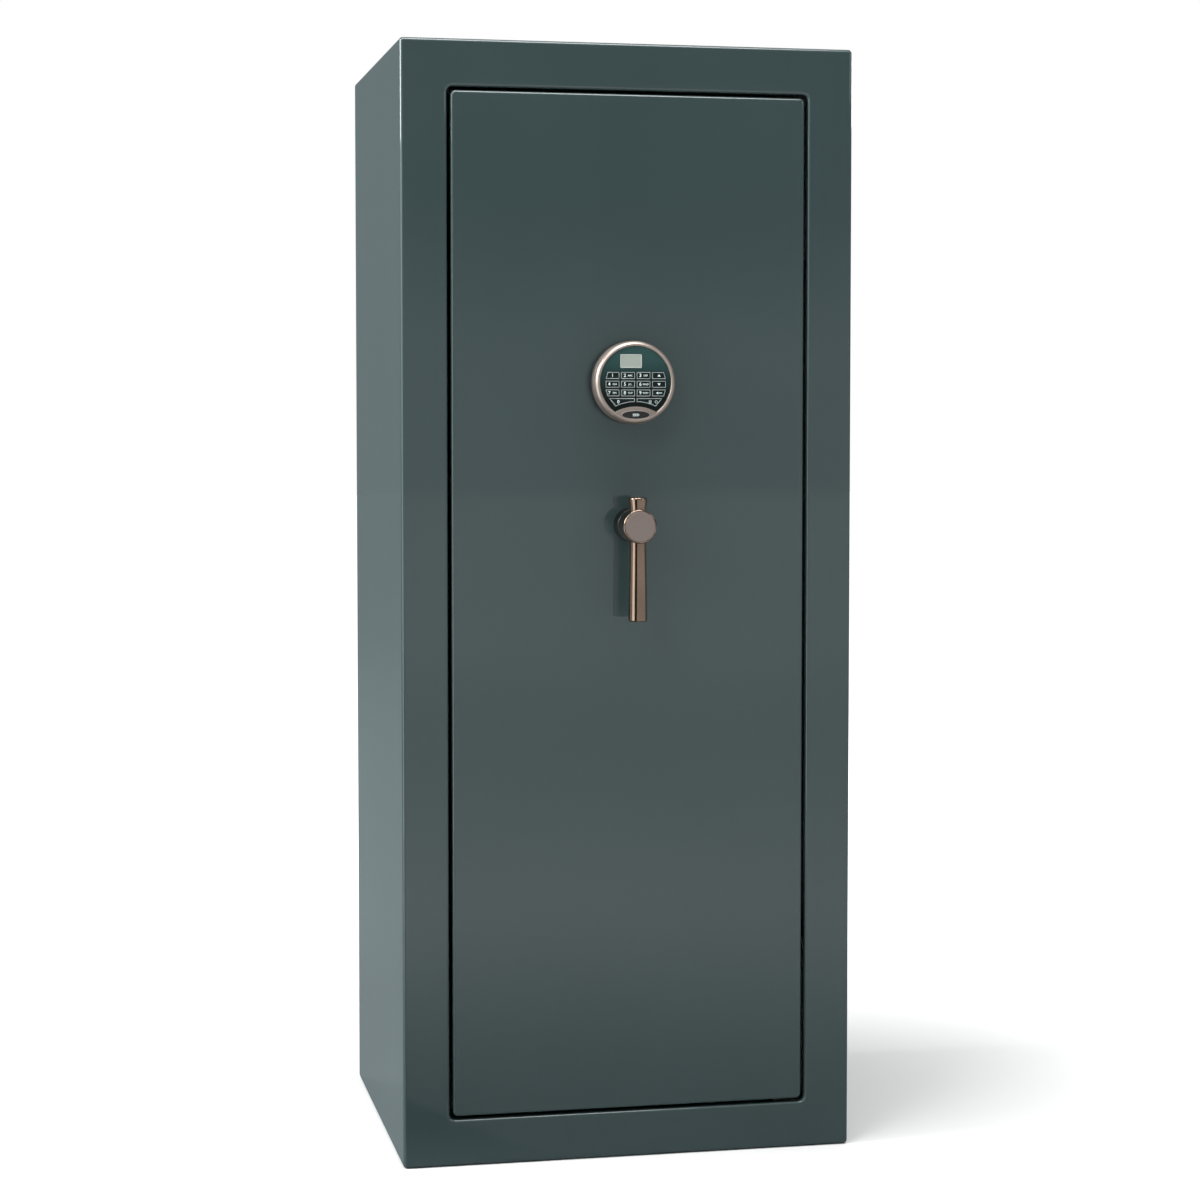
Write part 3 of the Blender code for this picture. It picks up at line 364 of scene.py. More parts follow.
        def grain(nodes: NodeBuilder, given: Sockets) -> Sockets:
            """An even fine grain.

            Args:
                nodes: Builds the inside of the group.
                given: The group's inputs by name.

            Returns:
                The socket for each output.
            """
            grains = nodes.noise(given["Vector"], given["Scale"], 3.0)
            return {"Height": nodes.math("MULTIPLY", grains, given["Depth"])}

        def weave(nodes: NodeBuilder, given: Sockets) -> Sockets:
            """Crossing threads with uneven slubs.

            Args:
                nodes: Builds the inside of the group.
                given: The group's inputs by name.

            Returns:
                The socket for each output.
            """
            split = nodes.add("SeparateXYZ")
            nodes.feed(split.inputs[0], given["Vector"])
            across = nodes.math("ADD", split.outputs[0], split.outputs[1])
            across = nodes.math("MULTIPLY", across, given["Scale"])
            along = nodes.math("ADD", split.outputs[2], split.outputs[1])
            along = nodes.math("MULTIPLY", along, given["Scale"])
            threads = nodes.math("MULTIPLY", nodes.math("SINE", across), nodes.math("SINE", along))
            slub = nodes.noise(given["Vector"], 350.0, 3.0)
            height = nodes.math("ADD", threads, nodes.math("MULTIPLY", slub, 0.8))
            return {"Height": nodes.math("MULTIPLY", height, given["Depth"])}

        def pile(nodes: NodeBuilder, given: Sockets) -> Sockets:
            """Tufts that lie this way and that.

            Args:
                nodes: Builds the inside of the group.
                given: The group's inputs by name.

            Returns:
                The socket for each output.
            """
            tufts = nodes.add("TexVoronoi", feature="SMOOTH_F1")
            nodes.feed(tufts.inputs["Vector"], given["Vector"])
            nodes.feed(tufts.inputs["Scale"], given["Scale"])
            lay = nodes.noise(given["Vector"], 45.0, 3.0)
            height = nodes.math("ADD", tufts.outputs["Distance"], lay)
            return {"Height": nodes.math("MULTIPLY", height, given["Depth"])}

        fill = {"peel": peel, "brushed": brushed, "grain": grain, "weave": weave, "pile": pile}[kind.value]
        inputs = {"Scale": 300.0, "Depth": 0.00003, "Wave": 0.0}
        return cls.group("relief_" + kind.value, inputs, {"Height": "Float"}, fill)


# ---------------------------------------------------------------------------------------------
# Finishes


@dataclass(frozen=True)
class Finish:
    """One procedural finish and the record's slot that it stands for."""

    name: str
    slot: str
    colour: Colour
    shade: Colour
    roughness: float
    relief: Relief
    relief_scale: float
    relief_depth: float
    relief_wave: float = 0.0
    metallic: float = 0.0
    spread: float = 0.06
    broad: float = 4.0
    fine: float = 700.0
    coat: float = 0.0
    coat_roughness: float = 0.03
    # Edge colour, amount and width: wear, and on the paint also a painted highlight along the edges.
    wear_and_highlight: Colour = (0.30, 0.30, 0.30)
    wear_and_highlight_amount: float = 0.3
    wear_and_highlight_width: float = 0.0008
    dust: float = 0.10
    sheen: float = 0.0
    specular: float = 0.5
    anisotropy: float = 0.0

    def place(self, nodes: NodeBuilder, tree: bpy.types.NodeTree, **values: object) -> bpy.types.Node:
        """Put a shared group into this finish.

        Args:
            nodes: The material's node builder.
            tree: The group.
            values: A socket or number for each input, with _ for a space.

        Returns:
            The group node.
        """
        node = nodes.add("Group", node_tree=tree)
        for name, value in values.items():
            nodes.feed(node.inputs[name.replace("_", " ")], value)
        return node

    def base(self, nodes: NodeBuilder, vector: bpy.types.NodeSocket, tone: object) -> bpy.types.NodeSocket:
        """The colour before edge wear, painted edge highlight and dust."""
        return nodes.mix(tone, self.colour, self.shade)

    def build(self) -> bpy.types.Material:
        """Make the material, or give the one already made.

        Returns:
            The material.
        """
        if self.name in bpy.data.materials and bpy.data.materials[self.name].get("dressed"):
            return bpy.data.materials[self.name]
        made = bpy.data.materials.new(self.name)
        made.use_nodes = True
        made["dressed"] = True
        nodes = NodeBuilder(made.node_tree)
        shader = made.node_tree.nodes["Principled BSDF"]
        vector = nodes.add("TexCoord").outputs["Object"]
        mottle = self.place(nodes, Effects.mottle(), Vector=vector, Broad=self.broad, Fine=self.fine)
        edge = self.place(nodes, Effects.edge_wear(), Vector=vector, Width=self.wear_and_highlight_width)
        dust = self.place(nodes, Effects.dust(), Vector=vector, Amount=self.dust)
        relief = self.place(
            nodes, Effects.relief(self.relief), Vector=vector,
            Scale=self.relief_scale, Depth=self.relief_depth, Wave=self.relief_wave,
        )
        # Edges mix towards the edge colour: wear, and on the paint a painted edge highlight.
        worn_and_highlit = nodes.math("MULTIPLY", edge.outputs["Mask"], self.wear_and_highlight_amount)
        colour = nodes.mix(worn_and_highlit, self.base(nodes, vector, mottle.outputs["Tone"]), self.wear_and_highlight)
        colour = nodes.mix(dust.outputs["Mask"], colour, (0.55, 0.53, 0.50))
        nodes.feed(shader.inputs["Base Color"], colour)
        swing = nodes.math("MULTIPLY", nodes.math("SUBTRACT", mottle.outputs["Broad Tone"], 0.5), self.spread)
        settled = nodes.math("MULTIPLY", dust.outputs["Mask"], 0.5)
        rough = nodes.math("ADD", nodes.math("ADD", swing, self.roughness), settled, clamp=True)
        nodes.feed(shader.inputs["Roughness"], rough)
        bump = nodes.add("Bump")
        bump.inputs["Distance"].default_value = 1.0
        bump.inputs["Strength"].default_value = 1.0
        nodes.feed(bump.inputs["Height"], relief.outputs["Height"])
        nodes.feed(bump.inputs["Normal"], edge.outputs["Rounded"])
        nodes.feed(shader.inputs["Normal"], bump.outputs[0])
        shader.inputs["Metallic"].default_value = self.metallic
        shader.inputs["Coat Weight"].default_value = self.coat
        shader.inputs["Coat Roughness"].default_value = self.coat_roughness
        shader.inputs["Sheen Weight"].default_value = self.sheen
        shader.inputs["Specular IOR Level"].default_value = self.specular
        shader.inputs["Anisotropic"].default_value = self.anisotropy
        return made


@dataclass(frozen=True)
class GradedFinish(Finish):
    """A finish whose colour passes from one tone to another up the piece."""

    low_colour: Colour = (0.0, 0.0, 0.0)
    low_z: float = 0.0
    high_z: float = 1.0

    def base(self, nodes: NodeBuilder, vector: bpy.types.NodeSocket, tone: object) -> bpy.types.NodeSocket:
        """The graded colour before edge wear, painted edge highlight and dust.

        Args:
            nodes: Builds the material.
            vector: Object coordinates.
            tone: The mottling.

        Returns:
            The colour.
        """
        split = nodes.add("SeparateXYZ")
        nodes.feed(split.inputs[0], vector)
        upward = nodes.ramp(split.outputs[2], self.low_z, self.high_z)
        return nodes.mix(upward, self.low_colour, nodes.mix(tone, self.colour, self.shade))


TEAL: Colour = (0.0285, 0.0530, 0.0545)
TEAL_SHADE: Colour = (0.0330, 0.0600, 0.0615)

# The paint's edge colour is a lighter teal: partly wear, partly a painted highlight along the bent edges.
PAINT = Finish(
    "teal_gloss_paint", "body_paint", TEAL, TEAL_SHADE, 0.42, Relief.PEEL, 260.0, 0.000012,
    relief_wave=0.0011, metallic=0.25, coat=1.0, coat_roughness=0.035, fine=1600.0, broad=2.5,
    wear_and_highlight=(0.16, 0.20, 0.20), wear_and_highlight_amount=0.35, dust=0.05,
)
STEEL = Finish(
    "bare_steel", "bare_steel", (0.40, 0.41, 0.42), (0.33, 0.335, 0.34), 0.38, Relief.BRUSHED, 900.0,
    0.000010, metallic=1.0, spread=0.14, broad=9.0, fine=240.0, wear_and_highlight=(0.62, 0.62, 0.62), wear_and_highlight_amount=0.6,
)
WELD = Finish(
    "weld_bead", "bare_steel", (0.27, 0.26, 0.25), (0.17, 0.15, 0.14), 0.46, Relief.GRAIN, 700.0, 0.00006,
    metallic=1.0, spread=0.2, broad=60.0, fine=500.0, wear_and_highlight=(0.5, 0.48, 0.46),
)
PAINTED_WELD = Finish(
    "painted_weld", "body_paint", TEAL, TEAL_SHADE, 0.42, Relief.GRAIN, 420.0, 0.00010,
    metallic=0.25, coat=1.0, coat_roughness=0.06, fine=1600.0,
)
CHROME = Finish(
    "bolt_chrome", "bolt_chrome", (0.74, 0.75, 0.76), (0.66, 0.67, 0.68), 0.10, Relief.BRUSHED, 1500.0,
    0.0000012, metallic=1.0, spread=0.05, wear_and_highlight=(0.80, 0.80, 0.80), wear_and_highlight_amount=0.2, dust=0.04,
)
BRASS = Finish(
    "lock_brass", "brass", (0.64, 0.47, 0.19), (0.50, 0.35, 0.13), 0.28, Relief.BRUSHED, 1100.0, 0.000004,
    metallic=1.0, spread=0.12, wear_and_highlight=(0.80, 0.64, 0.32), wear_and_highlight_amount=0.6,
)
FIREBOARD = Finish(
    "fireboard", "fireboard", (0.60, 0.58, 0.54), (0.50, 0.48, 0.44), 0.92, Relief.GRAIN, 500.0, 0.00009,
    broad=14.0, fine=600.0, wear_and_highlight=(0.74, 0.72, 0.68), wear_and_highlight_amount=0.6, wear_and_highlight_width=0.002,
)
LINING = Finish(
    "lining_carpet", "lining_fabric", (0.300, 0.285, 0.265), (0.195, 0.185, 0.172), 0.96, Relief.PILE, 620.0,
    0.00060, sheen=0.35, fine=520.0, broad=7.0, wear_and_highlight=(0.19, 0.18, 0.17), specular=0.15,
)
SHELF_CLOTH = Finish(
    "shelf_carpet", "shelf_fabric", (0.275, 0.262, 0.244), (0.178, 0.170, 0.158), 0.96, Relief.PILE, 640.0,
    0.00055, sheen=0.35, fine=540.0, broad=9.0, wear_and_highlight=(0.19, 0.18, 0.17), specular=0.15,
)
BINDING = Finish(
    "edge_binding", "shelf_fabric", (0.030, 0.030, 0.031), (0.018, 0.018, 0.019), 0.85, Relief.WEAVE, 4200.0,
    0.00010, sheen=0.2, wear_and_highlight=(0.08, 0.08, 0.08), specular=0.2,
)
PANEL_CLOTH = Finish(
    "panel_cloth", "panel_fabric", (0.048, 0.048, 0.050), (0.030, 0.030, 0.032), 0.90, Relief.WEAVE, 3600.0,
    0.00012, sheen=0.3, fine=600.0, wear_and_highlight=(0.09, 0.09, 0.09), specular=0.2,
)
POCKET_CLOTH = Finish(
    "pocket_cloth", "panel_fabric", (0.064, 0.063, 0.062), (0.041, 0.041, 0.041), 0.84, Relief.WEAVE, 3000.0,
    0.00016, sheen=0.3, fine=480.0, wear_and_highlight=(0.12, 0.12, 0.12), specular=0.25,
)
WEBBING = Finish(
    "webbing", "panel_fabric", (0.020, 0.020, 0.021), (0.012, 0.012, 0.013), 0.78, Relief.WEAVE, 2200.0,
    0.00022, sheen=0.2, wear_and_highlight=(0.06, 0.06, 0.06), specular=0.3,
)
SEAL = Finish(
    "seal_rubber", "seal_rubber", (0.030, 0.014, 0.012), (0.018, 0.010, 0.009), 0.74, Relief.GRAIN, 900.0,
    0.00003, wear_and_highlight=(0.06, 0.05, 0.045), specular=0.3,
)
LOCK_CASE = Finish(
    "lock_case", "lock_case", (0.30, 0.31, 0.33), (0.25, 0.26, 0.28), 0.44, Relief.GRAIN, 1200.0, 0.00002,
    metallic=0.9, wear_and_highlight=(0.5, 0.5, 0.5), wear_and_highlight_amount=0.5,
)
BRONZE = Finish(
    "dark_bronze", "dark_bronze", (0.31, 0.225, 0.172), (0.245, 0.178, 0.136), 0.11, Relief.BRUSHED, 1300.0,
    0.0000016, metallic=1.0, spread=0.05, wear_and_highlight=(0.30, 0.24, 0.21), wear_and_highlight_amount=0.35, dust=0.04,
)
BRONZE_SATIN = Finish(
    "satin_bronze", "dark_bronze", (0.44, 0.367, 0.336), (0.395, 0.328, 0.300), 0.40, Relief.BRUSHED, 1800.0,
    0.0000030, metallic=1.0, spread=0.06, wear_and_highlight=(0.46, 0.41, 0.38), wear_and_highlight_amount=0.35, dust=0.04,
)
COLLAR_DARK = Finish(
    "collar_dark", "dark_bronze", (0.050, 0.044, 0.042), (0.034, 0.030, 0.029), 0.24, Relief.BRUSHED, 1300.0,
    0.0000020, metallic=1.0, wear_and_highlight=(0.20, 0.17, 0.15), wear_and_highlight_amount=0.3, dust=0.04,
)
PEWTER = Finish(
    "keypad_pewter", "keypad_pewter", (0.50, 0.43, 0.385), (0.44, 0.372, 0.33), 0.42, Relief.GRAIN,
    2600.0, 0.000004, metallic=0.95, spread=0.05, wear_and_highlight=(0.42, 0.36, 0.33), wear_and_highlight_amount=0.4, dust=0.04,
)
PEWTER_BRIGHT = Finish(
    "badge_pewter", "keypad_pewter", (0.46, 0.41, 0.38), (0.40, 0.35, 0.32), 0.28, Relief.GRAIN, 2600.0,
    0.000003, metallic=0.95, wear_and_highlight=(0.6, 0.55, 0.5), dust=0.02,
)
KEYPAD_FACE = GradedFinish(
    "keypad_face", "keypad_face", (0.030, 0.080, 0.077), (0.026, 0.070, 0.067), 0.36, Relief.GRAIN, 2600.0,
    0.000004, specular=0.2, wear_and_highlight=(0.03, 0.06, 0.06), dust=0.02, low_colour=(0.002, 0.006, 0.006),
    low_z=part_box("keypad_face")[0].z + 0.010, high_z=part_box("keypad_face")[1].z + 0.004,
)
BLACK_PLASTIC = Finish(
    "black_plastic", "keypad_pewter", (0.012, 0.012, 0.013), (0.008, 0.008, 0.009), 0.40, Relief.GRAIN,
    2400.0, 0.000008, wear_and_highlight=(0.04, 0.04, 0.04),
)
KEY_RUBBER = Finish(
    "key_black", "key_black", (0.0075, 0.0135, 0.0135), (0.005, 0.009, 0.009), 0.42, Relief.GRAIN, 3000.0,
    0.000005, wear_and_highlight=(0.03, 0.04, 0.04), dust=0.02, specular=0.15,
)
KEY_INK = Finish(
    "key_ink", "key_black", (0.82, 0.96, 0.94), (0.76, 0.90, 0.88), 0.50, Relief.GRAIN, 3000.0, 0.000002,
    wear_and_highlight=(0.5, 0.6, 0.58), dust=0.0,
)
LCD_GREY = Finish(
    "display_grey", "display", (0.345, 0.395, 0.350), (0.318, 0.365, 0.323), 0.22, Relief.GRAIN, 1500.0,
    0.000001, coat=0.8, coat_roughness=0.02, fine=2500.0, wear_and_highlight=(0.5, 0.52, 0.5), dust=0.02,
)
LCD_FRAME = Finish(
    "display_frame", "display", (0.50, 0.565, 0.52), (0.46, 0.52, 0.48), 0.30, Relief.GRAIN, 1500.0, 0.000002,
    coat=0.2, wear_and_highlight=(0.6, 0.62, 0.6), dust=0.02,
)
BATTERY_CASE = Finish(
    "battery_case", "battery_case", (0.05, 0.05, 0.055), (0.035, 0.035, 0.04), 0.42, Relief.GRAIN, 1800.0,
    0.000006, metallic=0.3, wear_and_highlight=(0.2, 0.2, 0.2), wear_and_highlight_amount=0.5,
)


# ---------------------------------------------------------------------------------------------
# Mesh tools


def mesh_object(name: str, bm: bmesh.types.BMesh, weighted: bool = False) -> bpy.types.Object:
    """Turn a working mesh into a linked object, smooth but for its sharp edges.

    Args:
        name: The piece's name.
        bm: The working mesh, which is freed.
        weighted: Whether large flats keep their own normals beside narrow bends.

    Returns:
        The new object.
    """
    bmesh.ops.remove_doubles(bm, verts=bm.verts, dist=1e-7)
    bmesh.ops.recalc_face_normals(bm, faces=bm.faces)
    mesh = bpy.data.meshes.new(name)
    bm.to_mesh(mesh)
    bm.free()
    mesh.shade_smooth()
    mesh.set_sharp_from_angle(angle=SHARP)
    made = bpy.data.objects.new(name, mesh)
    bpy.context.scene.collection.objects.link(made)
    if weighted:
        modifier = made.modifiers.new("flat_faces", "WEIGHTED_NORMAL")
        modifier.keep_sharp = True
        modifier.weight = 100
    return made


def loft(
    name: str,
    rings: Sequence[Sequence[Vector]],
    closed: bool = False,
    weighted: bool = True,
) -> bpy.types.Object:
    """Join rings of equal length into a skin.

    Args:
        name: The piece's name.
        rings: The rings, in order.
        closed: Whether the last ring joins the first; otherwise both ends are capped.
        weighted: Passed on to mesh_object.

    Returns:
        The new object.
    """
    bm = bmesh.new()
    rows = [[bm.verts.new(point) for point in ring] for ring in rings]
    pairs = list(zip(rows, rows[1:]))
    if closed:
        pairs.append((rows[-1], rows[0]))
    else:
        bm.faces.new(rows[0])
        bm.faces.new(rows[-1])
    for first, second in pairs:
        for index in range(len(first)):
            after = (index + 1) % len(first)
            bm.faces.new((first[index], first[after], second[after], second[index]))
    return mesh_object(name, bm, weighted)


def lathe(
    name: str,
    profile: Profile,
    centre: Place,
    axis: str,
    steps: int = ROUND_STEPS,
) -> bpy.types.Object:
    """Turn a closed profile of (radius, along) points about an axis.

    Args:
        name: The piece's name.
        profile: The points; a radius of 0 becomes a pole.
        centre: The point that the profile is measured from.
        axis: "x", "y" or "z".
        steps: Sides of the turned piece.

    Returns:
        The new object.
    """
    turned = {
        "x": lambda r, a, t: (a, r * math.cos(t), r * math.sin(t)),
        "y": lambda r, a, t: (r * math.cos(t), a, r * math.sin(t)),
        "z": lambda r, a, t: (r * math.cos(t), r * math.sin(t), a),
    }[axis]
    bm = bmesh.new()
    rows = []
    for radius, along in profile:
        count = steps if radius > 0 else 1
        angles = [math.tau * step / steps for step in range(count)]
        rows.append([bm.verts.new(Vector(centre) + Vector(turned(radius, along, angle))) for angle in angles])
    pairs = list(zip(rows, rows[1:]))
    if len(rows[0]) > 1:
        pairs.append((rows[-1], rows[0]))
    for first, second in pairs:
        for step in range(steps):
            after = step + 1
            corners = [first[step % len(first)], first[after % len(first)]]
            corners += [second[after % len(second)], second[step % len(second)]]
            corners = list(dict.fromkeys(corners))
            if len(corners) > 2:
                bm.faces.new(corners)
    return mesh_object(name, bm)


def arc(centre: Flat, size: Flat, start: float, end: float, steps: int) -> Profile:
    """Points along part of an ellipse.

    Args:
        centre: The ellipse's centre.
        size: Its two half widths.
        start: The first angle in degrees.
        end: The last angle in degrees.
        steps: How many stretches.

    Returns:
        The points, both ends included.
    """
    angles = [math.radians(start + (end - start) * step / steps) for step in range(steps + 1)]
    return [(centre[0] + size[0] * math.cos(a), centre[1] + size[1] * math.sin(a)) for a in angles]


def oblong(low: Flat, high: Flat) -> Profile:
    """The four corners of an upright oblong, anticlockwise from its low corner."""
    return [(low[0], low[1]), (high[0], low[1]), (high[0], high[1]), (low[0], high[1])]


def prism(
    name: str,
    outline: Profile,
    low: float,
    high: float,
    axis: str,
    ease: float = 0.0,
) -> bpy.types.Object:
    """Push a flat outline along an axis, with eased rims.

    Args:
        name: The piece's name.
        outline: (x, z) points along Y, or (x, y) points along Z.
        low: Where it starts.
        high: Where it ends.
        axis: "y" or "z".
        ease: The radius of its rims.

    Returns:
        The new object.
    """
    put = {"y": lambda a, b, c: (a, c, b), "z": lambda a, b, c: (a, b, c)}[axis]
    bm = bmesh.new()
    rows = [[bm.verts.new(put(a, b, level)) for a, b in outline] for level in (low, high)]
    caps = [bm.faces.new(row) for row in rows]
    for index in range(len(outline)):
        after = (index + 1) % len(outline)
        bm.faces.new((rows[0][index], rows[0][after], rows[1][after], rows[1][index]))
    bmesh.ops.recalc_face_normals(bm, faces=bm.faces)
    if ease:
        rims = [edge for cap in caps for edge in cap.edges]
        bmesh.ops.bevel(
            bm, geom=rims, offset=ease, segments=3, profile=0.5, affect="EDGES", clamp_overlap=True
        )
    return mesh_object(name, bm, weighted=True)


def rounded_box(
    name: str,
    low: Sequence[float],
    high: Sequence[float],
    ease: float,
    segments: int = 4,
) -> bpy.types.Object:
    """A block with rounded edges.

    Args:
        name: The piece's name.
        low: Lowest corner.
        high: Highest corner.
        ease: The radius of its edges.
        segments: Steps round each edge.

    Returns:
        The new object.
    """
    bm = bmesh.new()
    bmesh.ops.create_cube(bm, size=1.0)
    size = Vector(high) - Vector(low)
    centre = (Vector(high) + Vector(low)) / 2
    bmesh.ops.transform(bm, matrix=Matrix.Translation(centre) @ Matrix.Diagonal((*size, 1.0)), verts=bm.verts)
    bmesh.ops.bevel(bm, geom=list(bm.edges), offset=ease, segments=segments, profile=0.5, affect="EDGES")
    return mesh_object(name, bm, weighted=True)


def as_mesh(name: str, source: bpy.types.Object) -> bpy.types.Object:
    """Swap a curve or text for the mesh that it makes.

    Args:
        name: The piece's name.
        source: The curve or text, which is removed.

    Returns:
        The mesh object.
    """
    graph = bpy.context.evaluated_depsgraph_get()
    mesh = bpy.data.meshes.new_from_object(source.evaluated_get(graph))
    place = source.matrix_world.copy()
    bpy.data.objects.remove(source)
    mesh.transform(place)
    mesh.name = name
    made = bpy.data.objects.new(name, mesh)
    bpy.context.scene.collection.objects.link(made)
    return made


def tube(
    name: str,
    points: Sequence[Place],
    radius: float,
    closed: bool = False,
    sides: int = 4,
) -> bpy.types.Object:
    """A round bead or piping along a path.

    Args:
        name: The piece's name.
        points: The path.
        radius: The bead's radius.
        closed: Whether the path joins up.
        sides: Blender's bevel resolution, which gives 2 * sides + 4 sides.

    Returns:
        The mesh object.
    """
    curve = bpy.data.curves.new(name, "CURVE")
    curve.dimensions = "3D"
    curve.bevel_depth = radius
    curve.bevel_resolution = sides
    curve.use_fill_caps = True
    spline = curve.splines.new("POLY")
    spline.points.add(len(points) - 1)
    for point, place in zip(spline.points, points):
        point.co = (*place, 1.0)
    spline.use_cyclic_u = closed
    source = bpy.data.objects.new(name + "_path", curve)
    bpy.context.scene.collection.objects.link(source)
    bpy.context.view_layer.update()
    made = as_mesh(name, source)
    made.data.shade_smooth()
    made.data.set_sharp_from_angle(angle=SHARP)
    return made


def lettering(
    name: str,
    text: str,
    size: float,
    centre: Place,
    rise: float,
    weight: float,
) -> bpy.types.Object:
    """Raised plain lettering on a face that looks along -Y.

    Args:
        name: The piece's name.
        text: What it says.
        size: The letters' size.
        centre: Their middle, on the face.
        rise: How far they stand out.
        weight: How much their strokes are thickened on each side.

    Returns:
        The mesh object.
    """
    curve = bpy.data.curves.new(name, "FONT")
    curve.body = text
    curve.size = size
    curve.extrude = rise / 2
    curve.offset = weight
    curve.align_x = "CENTER"
    curve.align_y = "CENTER"
    curve.resolution_u = 6
    source = bpy.data.objects.new(name + "_text", curve)
    bpy.context.scene.collection.objects.link(source)
    source.matrix_world = Matrix.Translation(centre) @ Matrix.Rotation(math.pi / 2, 4, "X")
    bpy.context.view_layer.update()
    return as_mesh(name, source)


def merged(name: str, pieces: Sequence[bpy.types.Object]) -> bpy.types.Object:
    """Join pieces into one object and drop the originals.

    Args:
        name: The joined piece's name.
        pieces: Objects at the origin.

    Returns:
        The joined object.
    """
    bm = bmesh.new()
    for piece in pieces:
        bm.from_mesh(piece.data)
        bpy.data.objects.remove(piece)
    mesh = bpy.data.meshes.new(name)
    bm.to_mesh(mesh)
    bm.free()
    mesh.set_sharp_from_angle(angle=SHARP)
    made = bpy.data.objects.new(name, mesh)
    bpy.context.scene.collection.objects.link(made)
    return made


def carve(target: bpy.types.Object, tool: bpy.types.Object, operation: str) -> bpy.types.Object:
    """Apply one exact Boolean and drop the tool.

    Args:
        target: The piece that changes.
        tool: The other piece, which is removed.
        operation: DIFFERENCE, UNION or INTERSECT.

    Returns:
        The target.
    """
    modifier = target.modifiers.new("carve", "BOOLEAN")
    modifier.operation = operation
    modifier.solver = "EXACT"
    modifier.object = tool
    graph = bpy.context.evaluated_depsgraph_get()
    result = bpy.data.meshes.new_from_object(target.evaluated_get(graph))
    target.modifiers.clear()
    target.data = result
    result.shade_smooth()
    result.set_sharp_from_angle(angle=SHARP)
    bpy.data.objects.remove(tool)
    return target


def inset(outline: Profile, distance: float) -> Profile:
    """Pull every edge of an anticlockwise outline in, with mitred corners.

    Args:
        outline: The outline.
        distance: How far its edges move in.

    Returns:
        The smaller outline.
    """
    points = [Vector(point) for point in outline]
    result = []
    for index, point in enumerate(points):
        before = (point - points[index - 1]).normalized()
        after = (points[(index + 1) % len(points)] - point).normalized()
        first = Vector((-before.y, before.x))
        second = Vector((-after.y, after.x))
        middle = (first + second).normalized()
        moved = point + middle * distance / max(middle.dot(second), 0.3)
        result.append((moved.x, moved.y))
    return result


def eased(outline: Profile, radius: float, steps: int = 4) -> Profile:
    """Round the real corners of an outline and leave its gentle bends.

    Args:
        outline: The closed outline.
        radius: How far the rounding reaches along each edge.
        steps: Points round each corner.

    Returns:
        The rounded outline.
    """
    points = [Vector(point) for point in outline]
    result: Profile = []
    for index, point in enumerate(points):
        back = points[index - 1] - point
        ahead = points[(index + 1) % len(points)] - point
        if back.angle(ahead) > math.radians(150):
            result.append((point.x, point.y))
            continue
        start = point + back.normalized() * min(radius, back.length * 0.45)
        end = point + ahead.normalized() * min(radius, ahead.length * 0.45)
        for step in range(steps + 1):
            t = step / steps
            curved = start * (1 - t) ** 2 + point * 2 * t * (1 - t) + end * t ** 2
            result.append((curved.x, curved.y))
    return result


def band(name: str, outer: Profile, inner: Profile, low: float, high: float) -> bpy.types.Object:
    """A thin flat loop between two outlines of equal length, standing on a face that looks along -Y.

    Args:
        name: The piece's name.
        outer: (x, z) points outside.
        inner: (x, z) points inside.
        low: Its front, along Y.
        high: Its back, along Y.

    Returns:
        The new object.
    """
    rings = [[Vector((x, y, z)) for x, z in outline] for outline, y in (
        (outer, high), (outer, low), (inner, low), (inner, high),
    )]
    turned = [[ring[index] for ring in rings] for index in range(len(outer))]
    return loft(name, turned, closed=True, weighted=False)


def present(piece: bpy.types.Object, body: str, finish: Finish, *stands_for: str) -> bpy.types.Object:
    """Dress a piece, ride it on its body and report it.

    Args:
        piece: The piece, in place.
        body: The body that it moves with.
        finish: Its finish.
        stands_for: CAD nodes that it replaces.

    Returns:
        The piece.
    """
    piece.data.materials.clear()
    piece.data.materials.append(finish.build())
    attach(piece, body)
    if stands_for:
        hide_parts(*stands_for)
    LOG.info("%s: %s on %s, %d faces", piece.name, finish.name, body, len(piece.data.polygons))
    return piece


def dress_node(name: str, finish: Finish, ease: float = 0.0) -> bpy.types.Object:
    """Give a CAD node its finish and eased edges.

    Args:
        name: The node.
        finish: Its finish.
        ease: The radius of its edges.

    Returns:
        The node's object.
    """
    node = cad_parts[name]
    material = finish.build()
    if not node.material_slots:
        node.data.materials.append(material)
    for slot in node.material_slots:
        slot.material = material
    if ease:
        modifier = node.modifiers.new("eased", "BEVEL")
        modifier.width = ease
        modifier.segments = 2
        modifier.limit_method = "ANGLE"
        modifier.angle_limit = math.radians(40)
    LOG.info("%s: %s", name, finish.name)
    return node


# ---------------------------------------------------------------------------------------------
# Studio


@dataclass(frozen=True)
class SoftLight:
    """One rectangular soft light: where it hangs, what it points at, its size and its power."""

    name: str
    place: Place
    aim: Place
    width: float
    height: float
    watts: float


LIGHTS = (
    SoftLight("key", (-2.6, -3.2, 3.8), (0.0, 0.0, 0.8), 1.5, 1.5, 55.0),
    SoftLight("side", (-3.4, -0.2, 2.4), (0.0, 0.0, 0.7), 1.5, 1.5, 130.0),
    SoftLight("edge", (-2.8, -1.3, 1.0), (0.0, -0.3, 0.8), 1.6, 2.0, 17.0),
    SoftLight("fill", (3.4, -3.0, 2.6), (0.0, 0.0, 0.7), 1.4, 1.4, 24.0),
    SoftLight("overhead", (-0.2, -0.9, 3.4), (0.0, -0.2, 0.0), 2.2, 0.8, 60.0),
    SoftLight("rear", (2.8, 3.4, 2.6), (0.0, 0.0, 0.7), 1.5, 1.5, 60.0),
)


